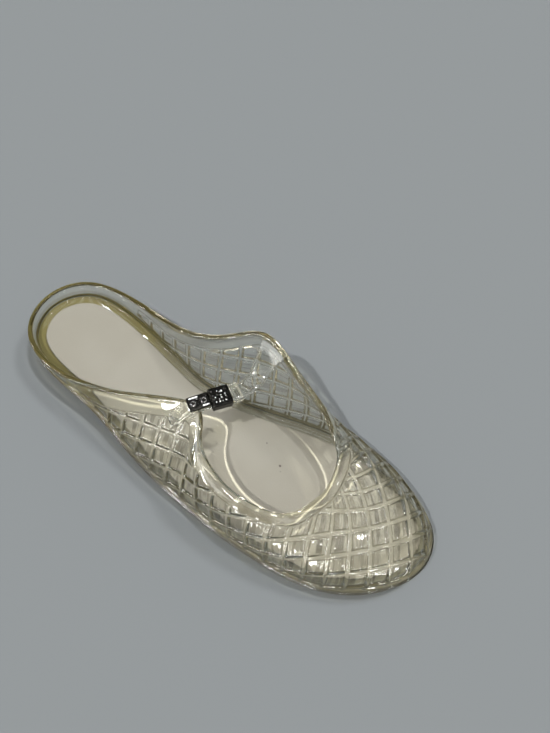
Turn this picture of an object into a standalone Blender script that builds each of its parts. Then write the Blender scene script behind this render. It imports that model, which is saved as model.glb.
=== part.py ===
"""Clear moulded jelly mary jane, right shoe, with a lattice-ribbed upper and a low heel lip.

Run with: blender --background --python part.py
Lengths in the tables are millimetres. +X points to the toe, +Y to the inner (medial) side, +Z up.
"""
import math
from collections import namedtuple

import bmesh
import bpy
import numpy as np
from mathutils import Matrix, Vector

MM = 0.001
GAP = 0.3                  # clearance between pieces that touch on the real shoe

# Upper wall
WALL = 2.8                 # thickness over a rib or the collar band
RIB_HEIGHT = 1.0           # how far ribs and band stand above the cell floors
RIB_WIDTH = 2.4            # flat width of a rib
RIB_SLOPE = 0.7            # width of a rib's sloping flank
MITRE = 1.8                # longest move of a cell's corner, over the width of its rib
CELL_PITCH = 10.3          # mean distance between neighbouring ribs
SMALLEST_CELL = 2.9        # inscribed radius below which a clipped cell stays solid
ROLL_LINE = 20.0           # height on the wall of the line along which it is rolled out flat
ROLL_TURN = 0.92           # share of that line's turning that the flat sheet keeps
BAND_SHARE = 0.45          # most of the wall's height that the band takes
BAND_SLANT = 0.5           # least squareness of the topline to the wall's sections
FEATHER_STRIP = 3.0        # smooth strip above the sole
STRIP_SHARE = 0.25         # most of the wall's height that the strip takes
EDGE_CROWN = 0.7           # roundness of the topline edge
EDGE_REACH = 2.0           # length over which the topline's direction is taken
SWELL = 1.0                # outward swell of the wall just above the sole
COLUMNS = 96               # mesh columns round the shoe
INNER_ROWS = 7             # mesh rows up the inner face

# Sole and insole
HEEL_SEAT = 13.0           # top of the sole at the heel
TREAD_SEAT = 7.0           # top of the sole under the ball
SEAT_FALL_X = 56.0         # where the top starts to fall from heel to ball
SHANK_THICK = 5.5          # sole thickness through the arch
SHANK_END_X = 100.0        # where the sole starts to thicken towards the ball
BREAST_X = 64.0            # front of the heel block
BREAST_RUN = 2.5           # length of its sloping front
BALL_X = 140.0             # where the tread first meets the floor
SPRING_X = 188.0           # where the toe starts to lift
TOE_SPRING = 5.0           # lift at the toe tip
SOLE_LEDGE = 1.0           # how far the sole stands out past the wall
SOLE_DRAFT = 1.8           # inward taper of the sole's side towards the floor
LEDGE_DEPTH = 2.6          # height of the upright rim at the top of the sole's side
LEAST_DRAFT = 0.5          # least height of the tapered side below that rim
INSOLE_INSET = 6.6         # insole edge to wall
INSOLE_THICK = 1.2
SOLE_STATIONS = 56         # mesh rows along the sole
STATION_GAP = 0.006        # least share of the sole's length between the heel's front and the next row
SOLE_ACROSS = 4            # mesh columns across the sole

# Strap and clasp
STRAP_THICK = 2.0
STRAP_CORNER = 0.5         # chamfer of the strap's edges
STRAP_STEPS = 40           # mesh rows along the strap
CLASP_STRAP = 8.0          # width of the strap where it runs through the clasp
CLASP_PLAY = 0.4           # clearance of the strap in head and keeper
HEAD_SIZE = (10.6, 10.4, 5.0)      # along the strap, across it, high
PLATE_SIZE = (11.0, 7.4, 2.4)
PLATE_SHIFT = 0.6          # plate's middle, past its point on the strap
KEEPER_SIZE = (4.2, 10.0, 4.4)
KEEPER_SHIFT = -0.6        # keeper's middle, past its point on the strap
CLASP_ROUND = 0.6          # edge rounding of the clasp
ROUND_STEPS = 2
STUD_RADIUS = 1.3
STUD_SHIFT = -4.0          # stud's middle, past the strap's end
STUD_SEGMENTS = 16
STUD_RINGS = 10
STUD_SHARP = 60.0          # degrees past which an edge of the stud shows

# Each row is a section of the wall: where its foot stands on the sole, where its top edge is,
# the handles of the curve between them (rise from the foot, then crown out and fall from the top),
# and the width of the smooth collar band, square to the topline.
Section = namedtuple("Section", "place foot_x foot_y top_x top_y top_z rise crown fall band")
SECTIONS = [
    Section("heel_back", 3.6, 1.0, 1.6, 1.0, 21.0, 3.0, 0.0, 3.0, 9.0),
    Section("heel_corner_outer", 10.0, -17.0, 8.2, -18.0, 21.2, 3.0, 0.0, 3.0, 9.0),
    Section("heel_outer", 31.0, -26.0, 31.0, -27.3, 22.5, 4.0, 0.0, 3.5, 9.0),
    Section("breast_outer", 60.0, -29.0, 58.0, -25.8, 29.5, 7.0, 0.5, 6.0, 9.0),
    Section("waist_outer", 92.0, -36.0, 82.0, -20.5, 41.0, 11.0, 4.0, 11.0, 9.0),
    Section("tab_rear", 112.0, -39.3, 104.0, -12.5, 50.5, 14.0, 8.0, 13.0, 9.0),
    Section("tab_front", 127.0, -40.7, 120.0, -9.5, 53.0, 15.0, 12.0, 9.0, 11.0),
    Section("quarter_outer", 139.0, -41.5, 128.0, -19.0, 48.5, 15.0, 12.0, 6.0, 14.0),
    Section("throat_outer", 155.0, -42.3, 143.0, -27.3, 42.5, 14.0, 11.0, 4.5, 13.0),
    Section("ball_outer", 178.0, -41.6, 161.0, -29.0, 39.5, 13.0, 11.0, 4.0, 9.5),
    Section("vamp_outer", 204.0, -38.2, 176.5, -25.5, 37.5, 13.0, 13.0, 3.5, 8.0),
    Section("toe_outer", 225.5, -28.8, 185.5, -17.8, 36.5, 13.0, 17.0, 3.0, 8.0),
    Section("toe_corner_outer", 240.3, -15.0, 189.8, -6.5, 36.5, 13.0, 26.0, 3.0, 7.0),
    Section("toe_tip", 248.0, 5.0, 190.6, 3.8, 37.0, 13.0, 28.0, 3.0, 7.0),
    Section("toe_corner_inner", 243.5, 18.5, 188.6, 12.5, 39.0, 13.0, 25.0, 3.0, 7.0),
    Section("toe_inner", 229.3, 29.4, 184.5, 19.3, 41.8, 13.0, 15.0, 5.0, 8.0),
    Section("vamp_inner", 209.0, 36.4, 177.5, 25.0, 45.3, 14.0, 7.0, 10.0, 9.0),
    Section("ball_inner", 184.0, 38.0, 165.0, 31.3, 50.0, 14.0, 2.0, 14.0, 9.0),
    Section("throat_inner", 160.0, 34.0, 148.0, 36.0, 56.0, 15.0, -1.0, 16.0, 9.0),
    Section("peak_front", 142.0, 28.8, 136.0, 39.5, 60.5, 16.0, -3.0, 17.0, 9.0),
    Section("peak_rear", 128.0, 24.6, 124.0, 40.8, 62.0, 16.0, -4.0, 17.0, 9.0),
    Section("waist_inner", 106.0, 19.6, 106.0, 32.5, 52.5, 14.0, -3.0, 14.0, 9.0),
    Section("shank_inner", 84.0, 21.3, 85.0, 27.0, 41.0, 11.0, -2.0, 10.0, 9.0),
    Section("breast_inner", 64.0, 24.5, 63.0, 28.8, 30.5, 7.0, -1.0, 6.0, 9.0),
    Section("heel_inner", 40.0, 27.0, 40.0, 30.6, 23.0, 4.0, 0.0, 3.5, 9.0),
    Section("heel_corner_inner", 17.0, 22.8, 15.0, 24.5, 21.3, 3.0, 0.0, 3.0, 9.0),
]
# The ribs are two families of straight lines on the flat sheet: the lean of their crosswise
# direction in degrees, the distance between lines, and how far the first one is from the sheet's origin.
RibFamily = namedtuple("RibFamily", "name lean pitch start")
RIB_FAMILIES = [
    RibFamily("rising", 54.2, 10.0, 0.8),
    RibFamily("falling", -48.7, 10.6, 2.65),
]
LATTICE_FROM = "breast_outer"
LATTICE_TO = "breast_inner"
TOE_SECTION = "toe_tip"

# The strap's middle line, from its root on the inner peak to its tail on the outer side.
StrapPoint = namedtuple("StrapPoint", "place x y z width")
STRAP_PATH = [
    StrapPoint("root", 131.6, 35.2, 57.7, 14.0),
    StrapPoint("leaving", 131.4, 29.0, 55.0, 11.5),
    StrapPoint("sag", 131.4, 18.5, 51.0, 8.6),
    StrapPoint("keeper", 128.0, 9.6, 51.2, CLASP_STRAP),
    StrapPoint("head", 124.0, 3.0, 52.6, CLASP_STRAP),
    StrapPoint("plate", 118.5, -6.0, 54.1, CLASP_STRAP),
    StrapPoint("bend", 114.6, -12.4, 53.8, CLASP_STRAP),
    StrapPoint("tail", 110.6, -19.5, 45.4, 7.0),
]

Finish = namedtuple("Finish", "name colour roughness metallic transmission")
JELLY = Finish("jelly_upper", (0.86, 0.86, 0.80), 0.08, 0.0, 1.0)
JELLY_SOLE = Finish("jelly_sole", (0.80, 0.79, 0.64), 0.10, 0.0, 1.0)
JELLY_STRAP = Finish("jelly_strap", (0.88, 0.88, 0.83), 0.06, 0.0, 1.0)
SOCK = Finish("insole_sock", (0.46, 0.42, 0.35), 0.65, 0.0, 0.0)
GUNMETAL = Finish("gunmetal", (0.10, 0.10, 0.10), 0.25, 1.0, 0.0)


def ease(low, high, x):
    """0 below low, 1 above high, with a smooth step between."""
    u = np.clip((x - low) / (high - low), 0.0, 1.0)
    return u * u * (3.0 - 2.0 * u)


def spline(knots, values, at, period=None):
    """Cubic curve through a row of values at each knot: closed where period is given, natural where not."""
    count = len(knots)
    step = np.diff(np.append(knots, knots[0] + (period or knots[-1] + 1.0)))
    before = np.roll(step, 1)
    slope = (np.roll(values, -1, axis=0) - values) / step[:, None]
    pull = 6.0 * (slope - np.roll(slope, 1, axis=0))
    matrix = np.zeros((count, count))
    for i in range(count):
        matrix[i, i - 1] += before[i]
        matrix[i, i] += 2.0 * (before[i] + step[i])
        matrix[i, (i + 1) % count] += step[i]
    if period is None:
        matrix[[0, -1]] = np.eye(count)[[0, -1]]
        pull[[0, -1]] = 0.0
    else:
        at = knots[0] + np.mod(at - knots[0], period)
    bend = np.linalg.solve(matrix, pull)
    last = count - 1 if period else count - 2
    i = np.clip(np.searchsorted(knots, at, side="right") - 1, 0, last)
    j = (i + 1) % count
    b = ((at - knots[i]) / step[i])[:, None]
    a = 1.0 - b
    curl = (a**3 - a) * bend[i] + (b**3 - b) * bend[j]
    return a * values[i] + b * values[j] + curl * (step[i] ** 2)[:, None] / 6.0


def spring(x):
    """Toe spring, the lift of the sole ahead of the ball."""
    toe = max(section.foot_x for section in SECTIONS)
    return TOE_SPRING * (np.maximum(x - SPRING_X, 0.0) / (toe - SPRING_X)) ** 2


def seat(x):
    """Height of the sole's top, which falls from the heel to the ball and lifts at the toe."""
    fall = ease(SEAT_FALL_X, BALL_X, x)
    return HEEL_SEAT + (TREAD_SEAT - HEEL_SEAT) * fall + spring(x)


def underside(x):
    """Height of the sole's bottom: flat heel block, raised arch, flat tread and sprung toe."""
    thick = SHANK_THICK + (TREAD_SEAT - SHANK_THICK) * ease(SHANK_END_X, BALL_X, x)
    arch = np.maximum(seat(x) - spring(x) - thick, 0.0)
    breast = np.clip((x - BREAST_X) / BREAST_RUN, 0.0, 1.0)
    return arch * breast + spring(x)


class Wall:
    """Outer face of the upper, sampled round the shoe and up from the sole."""

    around = 480
    rise = 48

    def __init__(self):
        rows = np.array([section[1:] for section in SECTIONS])
        feet = rows[:, :2]
        chords = np.linalg.norm(np.roll(feet, -1, axis=0) - feet, axis=1)
        self.knots = np.append(0.0, np.cumsum(chords)[:-1])
        self.period = chords.sum()
        places = np.arange(self.around) * self.period / self.around
        lines = spline(self.knots, rows, places, self.period)
        self.foot = lines[:, :2]
        self.band = lines[:, 8]
        along = np.roll(self.foot, -1, axis=0) - np.roll(self.foot, 1, axis=0)
        along /= np.linalg.norm(along, axis=1)[:, None]
        self.outward = np.stack([along[:, 1], -along[:, 0]], axis=1)
        self.sample(lines)
        self.roll_out()

    def sample(self, lines):
        """Fills the grid with points evenly spaced up each section's curve, and their outward normals."""
        out = np.column_stack([self.outward, np.zeros(self.around)])
        up = np.array([0.0, 0.0, 1.0])
        foot = np.column_stack([self.foot, seat(self.foot[:, 0]) + GAP])
        top = lines[:, 2:5]
        first = foot + up * lines[:, 5:6] + out * SWELL
        second = top + out * lines[:, 6:7] - up * lines[:, 7:8]
        v = np.linspace(0.0, 1.0, 4 * self.rise + 1)[None, :, None]
        curve = ((1 - v) ** 3 * foot[:, None] + 3 * v * (1 - v) ** 2 * first[:, None]
                 + 3 * v * v * (1 - v) * second[:, None] + v**3 * top[:, None])
        lengths = np.linalg.norm(np.diff(curve, axis=1), axis=2)
        run = np.concatenate([np.zeros((self.around, 1)), np.cumsum(lengths, axis=1)], axis=1)
        self.height = run[:, -1]
        even = np.linspace(0.0, 1.0, self.rise + 1)
        self.points = np.array([
            np.column_stack([np.interp(even * run[i, -1], run[i], curve[i, :, axis]) for axis in range(3)])
            for i in range(self.around)
        ])
        side = np.roll(self.points, -1, axis=0) - np.roll(self.points, 1, axis=0)
        normal = np.cross(side, np.gradient(self.points, axis=1))
        self.normals = normal / np.linalg.norm(normal, axis=2)[:, :, None]

    def roll_out(self):
        """Lays the wall flat along a line low on it, with the toe tip at the origin heading along +X."""
        places = np.arange(self.around) * self.period / self.around
        self.line_up = np.minimum(ROLL_LINE, self.height / 2.0)
        flush = np.zeros(self.around)
        line = self.at(places, self.line_up, flush)
        up = self.at(places, self.line_up + 1.0, flush) - self.at(places, self.line_up - 1.0, flush)
        up /= np.linalg.norm(up, axis=1)[:, None]
        normal = line - self.at(places, self.line_up, flush + 1.0)
        line = np.vstack([line, line[:1]])
        edge = np.diff(line, axis=0)
        last = np.roll(edge, 1, axis=0)
        flat_edge = edge - normal * np.sum(edge * normal, axis=1)[:, None]
        flat_last = last - normal * np.sum(last * normal, axis=1)[:, None]
        turn = np.arctan2(np.sum(np.cross(flat_last, flat_edge) * normal, axis=1),
                          np.sum(flat_last * flat_edge, axis=1))
        heading = np.cumsum(turn) * ROLL_TURN
        toe = int(round(self.place_of(TOE_SECTION) / self.period * self.around))
        heading -= heading[toe]
        length = np.linalg.norm(edge, axis=1)[:, None]
        steps = length * np.column_stack([np.cos(heading), np.sin(heading)])
        centre = np.vstack([np.zeros((1, 2)), np.cumsum(steps, axis=0)])
        self.centre = centre - centre[toe]
        tangent = np.column_stack([np.cos(heading), np.sin(heading)])
        across = np.column_stack([-np.sin(heading), np.cos(heading)])
        ahead = flat_edge / np.linalg.norm(flat_edge, axis=1)[:, None]
        lean = np.sum(up * ahead, axis=1)[:, None]
        stand = np.sum(up * np.cross(normal, ahead), axis=1)[:, None]
        rising = lean * tangent + stand * across
        self.rising = np.vstack([rising, rising[-1:]])

    def place_of(self, name):
        """How far round the shoe a named section stands."""
        return self.knots[[section.place for section in SECTIONS].index(name)]

    def tall(self, place):
        """Length of the wall from sole to topline."""
        column = np.arange(self.around + 1) * self.period / self.around
        return np.interp(np.mod(place, self.period), column, np.append(self.height, self.height[0]))

    def band_foot(self, place):
        """Height up the wall of the collar band's lower edge."""
        column = np.arange(self.around) * self.period / self.around
        width = np.interp(place, column, self.band, period=self.period) / self.squareness(place)
        return self.tall(place) - np.minimum(width, BAND_SHARE * self.tall(place))

    def top_at(self, place):
        """Points of the topline, on the outer face."""
        return self.at(place, self.tall(place), np.zeros_like(place))

    def squareness(self, place):
        """Sine of the angle between the topline and the wall's sections: small where they slant."""
        along = self.top_at(place + EDGE_REACH) - self.top_at(place - EDGE_REACH)
        up = self.top_at(place) - self.at(place, self.tall(place) - EDGE_REACH, np.zeros_like(place))
        sine = np.linalg.norm(np.cross(along, up), axis=1) / np.linalg.norm(along, axis=1)
        return np.maximum(sine / np.linalg.norm(up, axis=1), BAND_SLANT)

    def flat(self, place, up):
        """Where a point of the wall lies when it is rolled out."""
        column = np.arange(self.around + 1) * self.period / self.around
        mid = [np.interp(place, column, self.centre[:, axis]) for axis in range(2)]
        rising = [np.interp(place, column, self.rising[:, axis]) for axis in range(2)]
        reach = up - np.interp(place, column, np.append(self.line_up, self.line_up[0]))
        return np.column_stack([mid[0] + reach * rising[0], mid[1] + reach * rising[1]])

    def unflat(self, spots):
        """The place and height on the wall of points on the rolled-out sheet."""
        place = np.empty(len(spots))
        up = np.empty(len(spots))
        columns = np.arange(self.around)
        for k, spot in enumerate(spots):
            off = spot - self.centre[:-1]
            rising = self.rising[:-1]
            reach = np.sum(off * rising, axis=1)
            side = off - reach[:, None] * rising
            past = np.maximum(-self.line_up - reach, reach + self.line_up - self.height)
            near = int(np.argmin(np.linalg.norm(side, axis=1) + CELL_PITCH * np.maximum(past, 0.0)))
            step = self.centre[near + 1] - self.centre[near]
            shift = float(side[near] @ step / (step @ step))
            place[k] = (columns[near] + np.clip(shift, -0.5, 0.5)) * self.period / self.around
            up[k] = reach[near] + self.line_up[near]
        return place, up

    def at(self, place, up, depth):
        """Points of the wall in space, depth below its outer face."""
        column = np.mod(place / self.period, 1.0) * self.around
        row = np.clip(up / self.tall(place), 0.0, 1.0) * self.rise
        i = np.floor(column).astype(int) % self.around
        j = (i + 1) % self.around
        k = np.minimum(np.floor(row).astype(int), self.rise - 1)
        a = (column - np.floor(column))[:, None]
        b = (row - k)[:, None]

        def read(grid):
            low = (1 - a) * grid[i, k] + a * grid[j, k]
            high = (1 - a) * grid[i, k + 1] + a * grid[j, k + 1]
            return (1 - b) * low + b * high

        normal = read(self.normals)
        normal /= np.linalg.norm(normal, axis=1)[:, None]
        return read(self.points) - normal * np.asarray(depth)[:, None]


def add_object(name, bm, material, collection):
    """Makes a mesh object in metres from a mesh built in metres."""
    bmesh.ops.recalc_face_normals(bm, faces=bm.faces)
    mesh = bpy.data.meshes.new(name)
    bm.to_mesh(mesh)
    bm.free()
    mesh.materials.append(material)
    obj = bpy.data.objects.new(name, mesh)
    collection.objects.link(obj)
    return obj


def smooth(obj, degrees):
    """Smooth shading, sharp past an angle."""
    obj.data.shade_smooth()
    obj.data.set_sharp_from_angle(angle=math.radians(degrees))


def principled(finish):
    """A Principled material with the given finish."""
    material = bpy.data.materials.new(finish.name)
    material.use_nodes = True
    shader = material.node_tree.nodes["Principled BSDF"]
    shader.inputs["Base Color"].default_value = (*finish.colour, 1.0)
    shader.inputs["Roughness"].default_value = finish.roughness
    shader.inputs["Metallic"].default_value = finish.metallic
    shader.inputs["Transmission Weight"].default_value = finish.transmission
    return material


# Zones of the upper's outer face
SMOOTH_ZONE = 0
LATTICE_ZONE = 1


def wall_rows(wall, place):
    """Heights of the mesh rows up the outer face: sole, feather strip, band foot, band middle, topline."""
    tall = wall.tall(place)
    strip = np.minimum(FEATHER_STRIP, STRIP_SHARE * tall)
    band = wall.band_foot(place)
    return np.stack([np.zeros_like(tall), strip, band, (band + tall) / 2.0, tall])


def flat_wall(bm, wall):
    """The outer face rolled out, as a strip of columns cut open at the heel back."""
    place = np.arange(COLUMNS + 1) * wall.period / COLUMNS
    place[-1] -= 1e-6
    heights = wall_rows(wall, place)
    known = {}
    rows = []
    for up in heights:
        spots = wall.flat(place, up)
        verts = [bm.verts.new((x, y, 0.0)) for x, y in spots]
        known.update({vert: (place[i], up[i]) for i, vert in enumerate(verts)})
        rows.append(verts)
    first, last = wall.place_of(LATTICE_FROM), wall.place_of(LATTICE_TO)
    for r in range(len(rows) - 1):
        for c in range(COLUMNS):
            face = bm.faces.new((rows[r][c], rows[r][c + 1], rows[r + 1][c + 1], rows[r + 1][c]))
            inside = r == 1 and place[c] >= first and place[c + 1] <= last
            face.material_index = LATTICE_ZONE if inside else SMOOTH_ZONE
    return rows, known


def lattice_faces(bm):
    return [face for face in bm.faces if face.material_index == LATTICE_ZONE]


def crosswise(family):
    """The direction on the flat sheet that is square to a family of ribs."""
    return Vector((math.cos(math.radians(family.lean)), math.sin(math.radians(family.lean)), 0.0))


def line_number(family, spot):
    """Which line of a family a spot of the flat sheet lies on, with a fraction between lines."""
    return (spot.dot(crosswise(family)) - family.start) / family.pitch


def cut_lattice(bm):
    """Cuts the lattice zone along two families of straight lines, then joins each cell to one face."""
    for family in RIB_FAMILIES:
        across = crosswise(family)
        reach = [line_number(family, vert.co) for face in lattice_faces(bm) for vert in face.verts]
        for line in range(math.floor(min(reach)), math.ceil(max(reach)) + 1):
            faces = lattice_faces(bm)
            edges = list({edge for face in faces for edge in face.edges})
            verts = list({vert for face in faces for vert in face.verts})
            bmesh.ops.bisect_plane(bm, geom=verts + edges + faces, dist=1e-4,
                                   plane_co=across * (family.start + line * family.pitch), plane_no=across)

    def cell(face):
        middle = face.calc_center_median()
        return tuple(math.floor(line_number(family, middle)) for family in RIB_FAMILIES)

    within = []
    for edge in bm.edges:
        if len(edge.link_faces) == 2 and all(f.material_index == LATTICE_ZONE for f in edge.link_faces):
            if cell(edge.link_faces[0]) == cell(edge.link_faces[1]):
                within.append(edge)
    bmesh.ops.dissolve_edges(bm, edges=within, use_verts=True, use_face_split=False)


def inset(bm, face, width, sink):
    """Rings a face of the flat sheet with narrow faces, and returns the smaller one inside, sunk below."""
    rim = list(face.verts)
    corner = np.array([vert.co[:2] for vert in rim])
    side = np.roll(corner, -1, axis=0) - corner
    side /= np.linalg.norm(side, axis=1)[:, None]
    inward = np.column_stack([-side[:, 1], side[:, 0]])
    before = np.roll(inward, 1, axis=0)
    move = (inward + before) / (1.0 + np.sum(inward * before, axis=1))[:, None]
    move *= np.minimum(1.0, MITRE / np.linalg.norm(move, axis=1))[:, None]
    bm.faces.remove(face)
    fresh = [bm.verts.new((x, y, -sink)) for x, y in corner + move * width]
    for i, j in zip(range(len(rim)), list(range(1, len(rim))) + [0]):
        bm.faces.new((rim[i], rim[j], fresh[j], fresh[i]))
    return bm.faces.new(fresh)


def sink_cells(bm):
    """Leaves ribs between the cells and sinks each cell's floor."""
    zone = lattice_faces(bm)
    for edge in {edge for face in zone for edge in face.edges}:
        if edge.calc_length() > CELL_PITCH / 2.0:
            bmesh.utils.edge_split(edge, edge.verts[0], 0.5)
    for face in zone:
        if 2.0 * face.calc_area() / face.calc_perimeter() > SMALLEST_CELL:
            inset(bm, inset(bm, face, RIB_WIDTH / 2.0, 0.0), RIB_SLOPE, RIB_HEIGHT)


def roll_up(bm, wall, known):
    """Moves every point of the rolled-out face to its place in space, in metres."""
    fresh = [vert for vert in bm.verts if vert not in known]
    place, up = wall.unflat(np.array([vert.co[:2] for vert in fresh]))
    place = np.append(place, [spot[0] for spot in known.values()])
    up = np.append(up, [spot[1] for spot in known.values()])
    verts = fresh + list(known)
    depth = np.array([-vert.co.z for vert in verts])
    for vert, spot in zip(verts, wall.at(place, up, depth)):
        vert.co = spot * MM


def close_wall(bm, wall, rows):
    """Adds the inner face, the rounded topline edge and the foot of the wall."""
    place = np.arange(COLUMNS) * wall.period / COLUMNS
    tall = wall.tall(place)
    inner = []
    for row in range(INNER_ROWS + 1):
        spots = wall.at(place, tall * row / INNER_ROWS, np.full(COLUMNS, WALL))
        if row == 0:
            spots[:, 2] = seat(spots[:, 0]) + GAP
        inner.append([bm.verts.new(spot * MM) for spot in spots])
    middle = np.full(COLUMNS, WALL / 2.0)
    top = wall.at(place, tall, middle)
    below = wall.at(place, tall - EDGE_REACH, middle)
    rise = (top - below) / np.linalg.norm(top - below, axis=1)[:, None]
    crest = [bm.verts.new(spot * MM) for spot in top + rise * EDGE_CROWN]
    loops = [rows[-1][:COLUMNS], crest] + inner[::-1] + [rows[0][:COLUMNS]]
    for lower, upper in zip(loops[:-1], loops[1:]):
        for c in range(COLUMNS):
            d = (c + 1) % COLUMNS
            bm.faces.new((lower[c], lower[d], upper[d], upper[c]))


def build_upper(wall, material, collection):
    """One hollow wall, open above and below, with raised ribs and a raised collar band."""
    bm = bmesh.new()
    rows, known = flat_wall(bm, wall)
    cut_lattice(bm)
    sink_cells(bm)
    roll_up(bm, wall, known)
    seam = [vert for row in rows for vert in (row[0], row[-1])]
    bmesh.ops.remove_doubles(bm, verts=seam, dist=0.01 * MM)
    close_wall(bm, wall, [[vert for vert in row if vert.is_valid] for row in rows])
    for face in bm.faces:
        face.material_index = 0
    return add_object("upper", bm, material, collection)


def outline(wall, offset):
    """Side edges of the feather line moved outwards: x and y of the outer half, then of the inner half."""
    ring = wall.foot + wall.outward * offset
    ring = np.roll(ring, -int(np.argmin(ring[:, 0])), axis=0)
    toe = int(np.argmax(ring[:, 0]))
    outer = ring[:toe + 1]
    inner = np.vstack([ring[toe:], ring[:1]])[::-1]
    return outer, inner


def footprint(wall, offset, stations):
    """Grid of x and y over the outline: a row for each station, from the outer edge to the inner one."""
    outer, inner = outline(wall, offset)
    heel, toe = outer[0, 0], outer[-1, 0]
    x = heel + (toe - heel) * stations
    low = np.interp(x, outer[:, 0], outer[:, 1])
    high = np.interp(x, inner[:, 0], inner[:, 1])
    share = np.linspace(0.0, 1.0, SOLE_ACROSS + 1)
    return np.repeat(x[:, None], SOLE_ACROSS + 1, axis=1), low[:, None] + (high - low)[:, None] * share


def slab(name, layers, material, collection):
    """A closed solid from a stack of footprint grids: whole at top and bottom, only edges between."""
    bm = bmesh.new()
    stacks = []
    for x, y, z in layers:
        stacks.append([[bm.verts.new((x[i, j] * MM, y[i, j] * MM, z[i, j] * MM)) for j in range(x.shape[1])]
                       for i in range(x.shape[0])])
    for grid in (stacks[0], stacks[-1]):
        for i in range(len(grid) - 1):
            for j in range(len(grid[0]) - 1):
                bm.faces.new((grid[i][j], grid[i + 1][j], grid[i + 1][j + 1], grid[i][j + 1]))
    for above, below in zip(stacks[:-1], stacks[1:]):
        for j in (0, -1):
            for i in range(len(above) - 1):
                bm.faces.new((above[i][j], above[i + 1][j], below[i + 1][j], below[i][j]))
    loose = [vert for vert in bm.verts if not vert.link_faces]
    bmesh.ops.delete(bm, geom=loose, context="VERTS")
    bmesh.ops.remove_doubles(bm, verts=bm.verts, dist=0.01 * MM)
    bmesh.ops.dissolve_degenerate(bm, edges=bm.edges, dist=0.01 * MM)
    return add_object(name, bm, material, collection)


def sole_stations(wall, offset):
    """Shares of the sole's length, closer at heel and toe, with one at each edge of the heel's front."""
    share = (1.0 - np.cos(np.pi * np.linspace(0.0, 1.0, SOLE_STATIONS))) / 2.0
    outer, _ = outline(wall, offset)
    heel, toe = outer[0, 0], outer[-1, 0]
    breast = (np.array([BREAST_X, BREAST_X + BREAST_RUN]) - heel) / (toe - heel)
    clear = np.min(np.abs(share[:, None] - breast), axis=1) > STATION_GAP
    return np.sort(np.append(share[clear], breast))


def build_outsole(wall, material, collection):
    """Sole and low heel block in one, with arch, toe spring and a rim at the top of its side."""
    stations = sole_stations(wall, SOLE_LEDGE)
    x, y = footprint(wall, SOLE_LEDGE, stations)
    low_x, low_y = footprint(wall, SOLE_LEDGE - SOLE_DRAFT, stations)
    layers = [
        (x, y, seat(x)),
        (x, y, np.maximum(seat(x) - LEDGE_DEPTH, underside(x) + LEAST_DRAFT)),
        (low_x, low_y, underside(x)),
    ]
    return slab("outsole", layers, material, collection)


def build_insole(wall, material, collection):
    """Thin sock that lies on the sole inside the wall."""
    stations = sole_stations(wall, -INSOLE_INSET)
    x, y = footprint(wall, -INSOLE_INSET, stations)
    low = seat(x) + GAP
    return slab("insole", [(x, y, low + INSOLE_THICK), (x, y, low)], material, collection)


class StrapLine:
    """Middle line of the strap, with its direction and the way its face points."""

    nudge = 0.05

    def __init__(self):
        rows = np.array([point[1:] for point in STRAP_PATH])
        chords = np.linalg.norm(np.diff(rows[:, :3], axis=0), axis=1)
        self.knots = np.append(0.0, np.cumsum(chords))
        self.rows = rows

    def place_of(self, name):
        return self.knots[[point.place for point in STRAP_PATH].index(name)]

    def frame(self, place):
        """Position, width, tangent, side and face directions at places along the strap."""
        line = spline(self.knots, self.rows, place)
        after, before = (spline(self.knots, self.rows, place + step) for step in (self.nudge, -self.nudge))
        ahead = after[:, :3] - before[:, :3]
        ahead /= np.linalg.norm(ahead, axis=1)[:, None]
        up = np.array([0.0, 0.0, 1.0])
        face = up - ahead * ahead[:, 2:3]
        face /= np.linalg.norm(face, axis=1)[:, None]
        return line[:, :3], line[:, 3:4], ahead, np.cross(face, ahead), face

    def matrix(self, name, lift=0.0, shift=0.0):
        """Placing of a clasp piece on the strap: X along it, Y across it, Z out of its face."""
        spot, _, ahead, side, face = self.frame(np.array([self.place_of(name) + shift]))
        turn = Matrix([ahead[0], side[0], face[0]]).transposed()
        return Matrix.Translation(Vector((spot[0] + face[0] * lift) * MM)) @ turn.to_4x4()


def build_strap(line, material, collection):
    """Flat strap with chamfered edges, swept along its middle line."""
    places = np.linspace(0.0, line.knots[-1], STRAP_STEPS + 1)
    spot, width, _, side, face = line.frame(places)
    edge, skin = width / 2.0, STRAP_THICK / 2.0
    side_in, skin_in = edge - STRAP_CORNER, skin - STRAP_CORNER
    profile = [(edge, -skin_in), (edge, skin_in), (side_in, skin), (-side_in, skin),
               (-edge, skin_in), (-edge, -skin_in), (-side_in, -skin), (side_in, -skin)]
    bm = bmesh.new()
    rails = []
    for across, out in profile:
        rails.append([bm.verts.new(point * MM) for point in spot + side * across + face * out])
    for rail, beside in zip(rails, rails[1:] + rails[:1]):
        for i in range(STRAP_STEPS):
            bm.faces.new((rail[i], rail[i + 1], beside[i + 1], beside[i]))
    bm.faces.new([rail[0] for rail in rails])
    bm.faces.new([rail[-1] for rail in rails])
    return add_object("strap", bm, material, collection)


def block(name, size, matrix, rounding, material, collection):
    """A box of the given size, its edges rounded."""
    bm = bmesh.new()
    bmesh.ops.create_cube(bm, size=1.0)
    bmesh.ops.scale(bm, vec=Vector(size) * MM, verts=bm.verts)
    obj = add_object(name, bm, material, collection)
    obj.matrix_world = matrix
    if rounding:
        bevel = obj.modifiers.new("Rounding", "BEVEL")
        bevel.width = rounding * MM
        bevel.segments = ROUND_STEPS
    return obj


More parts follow.
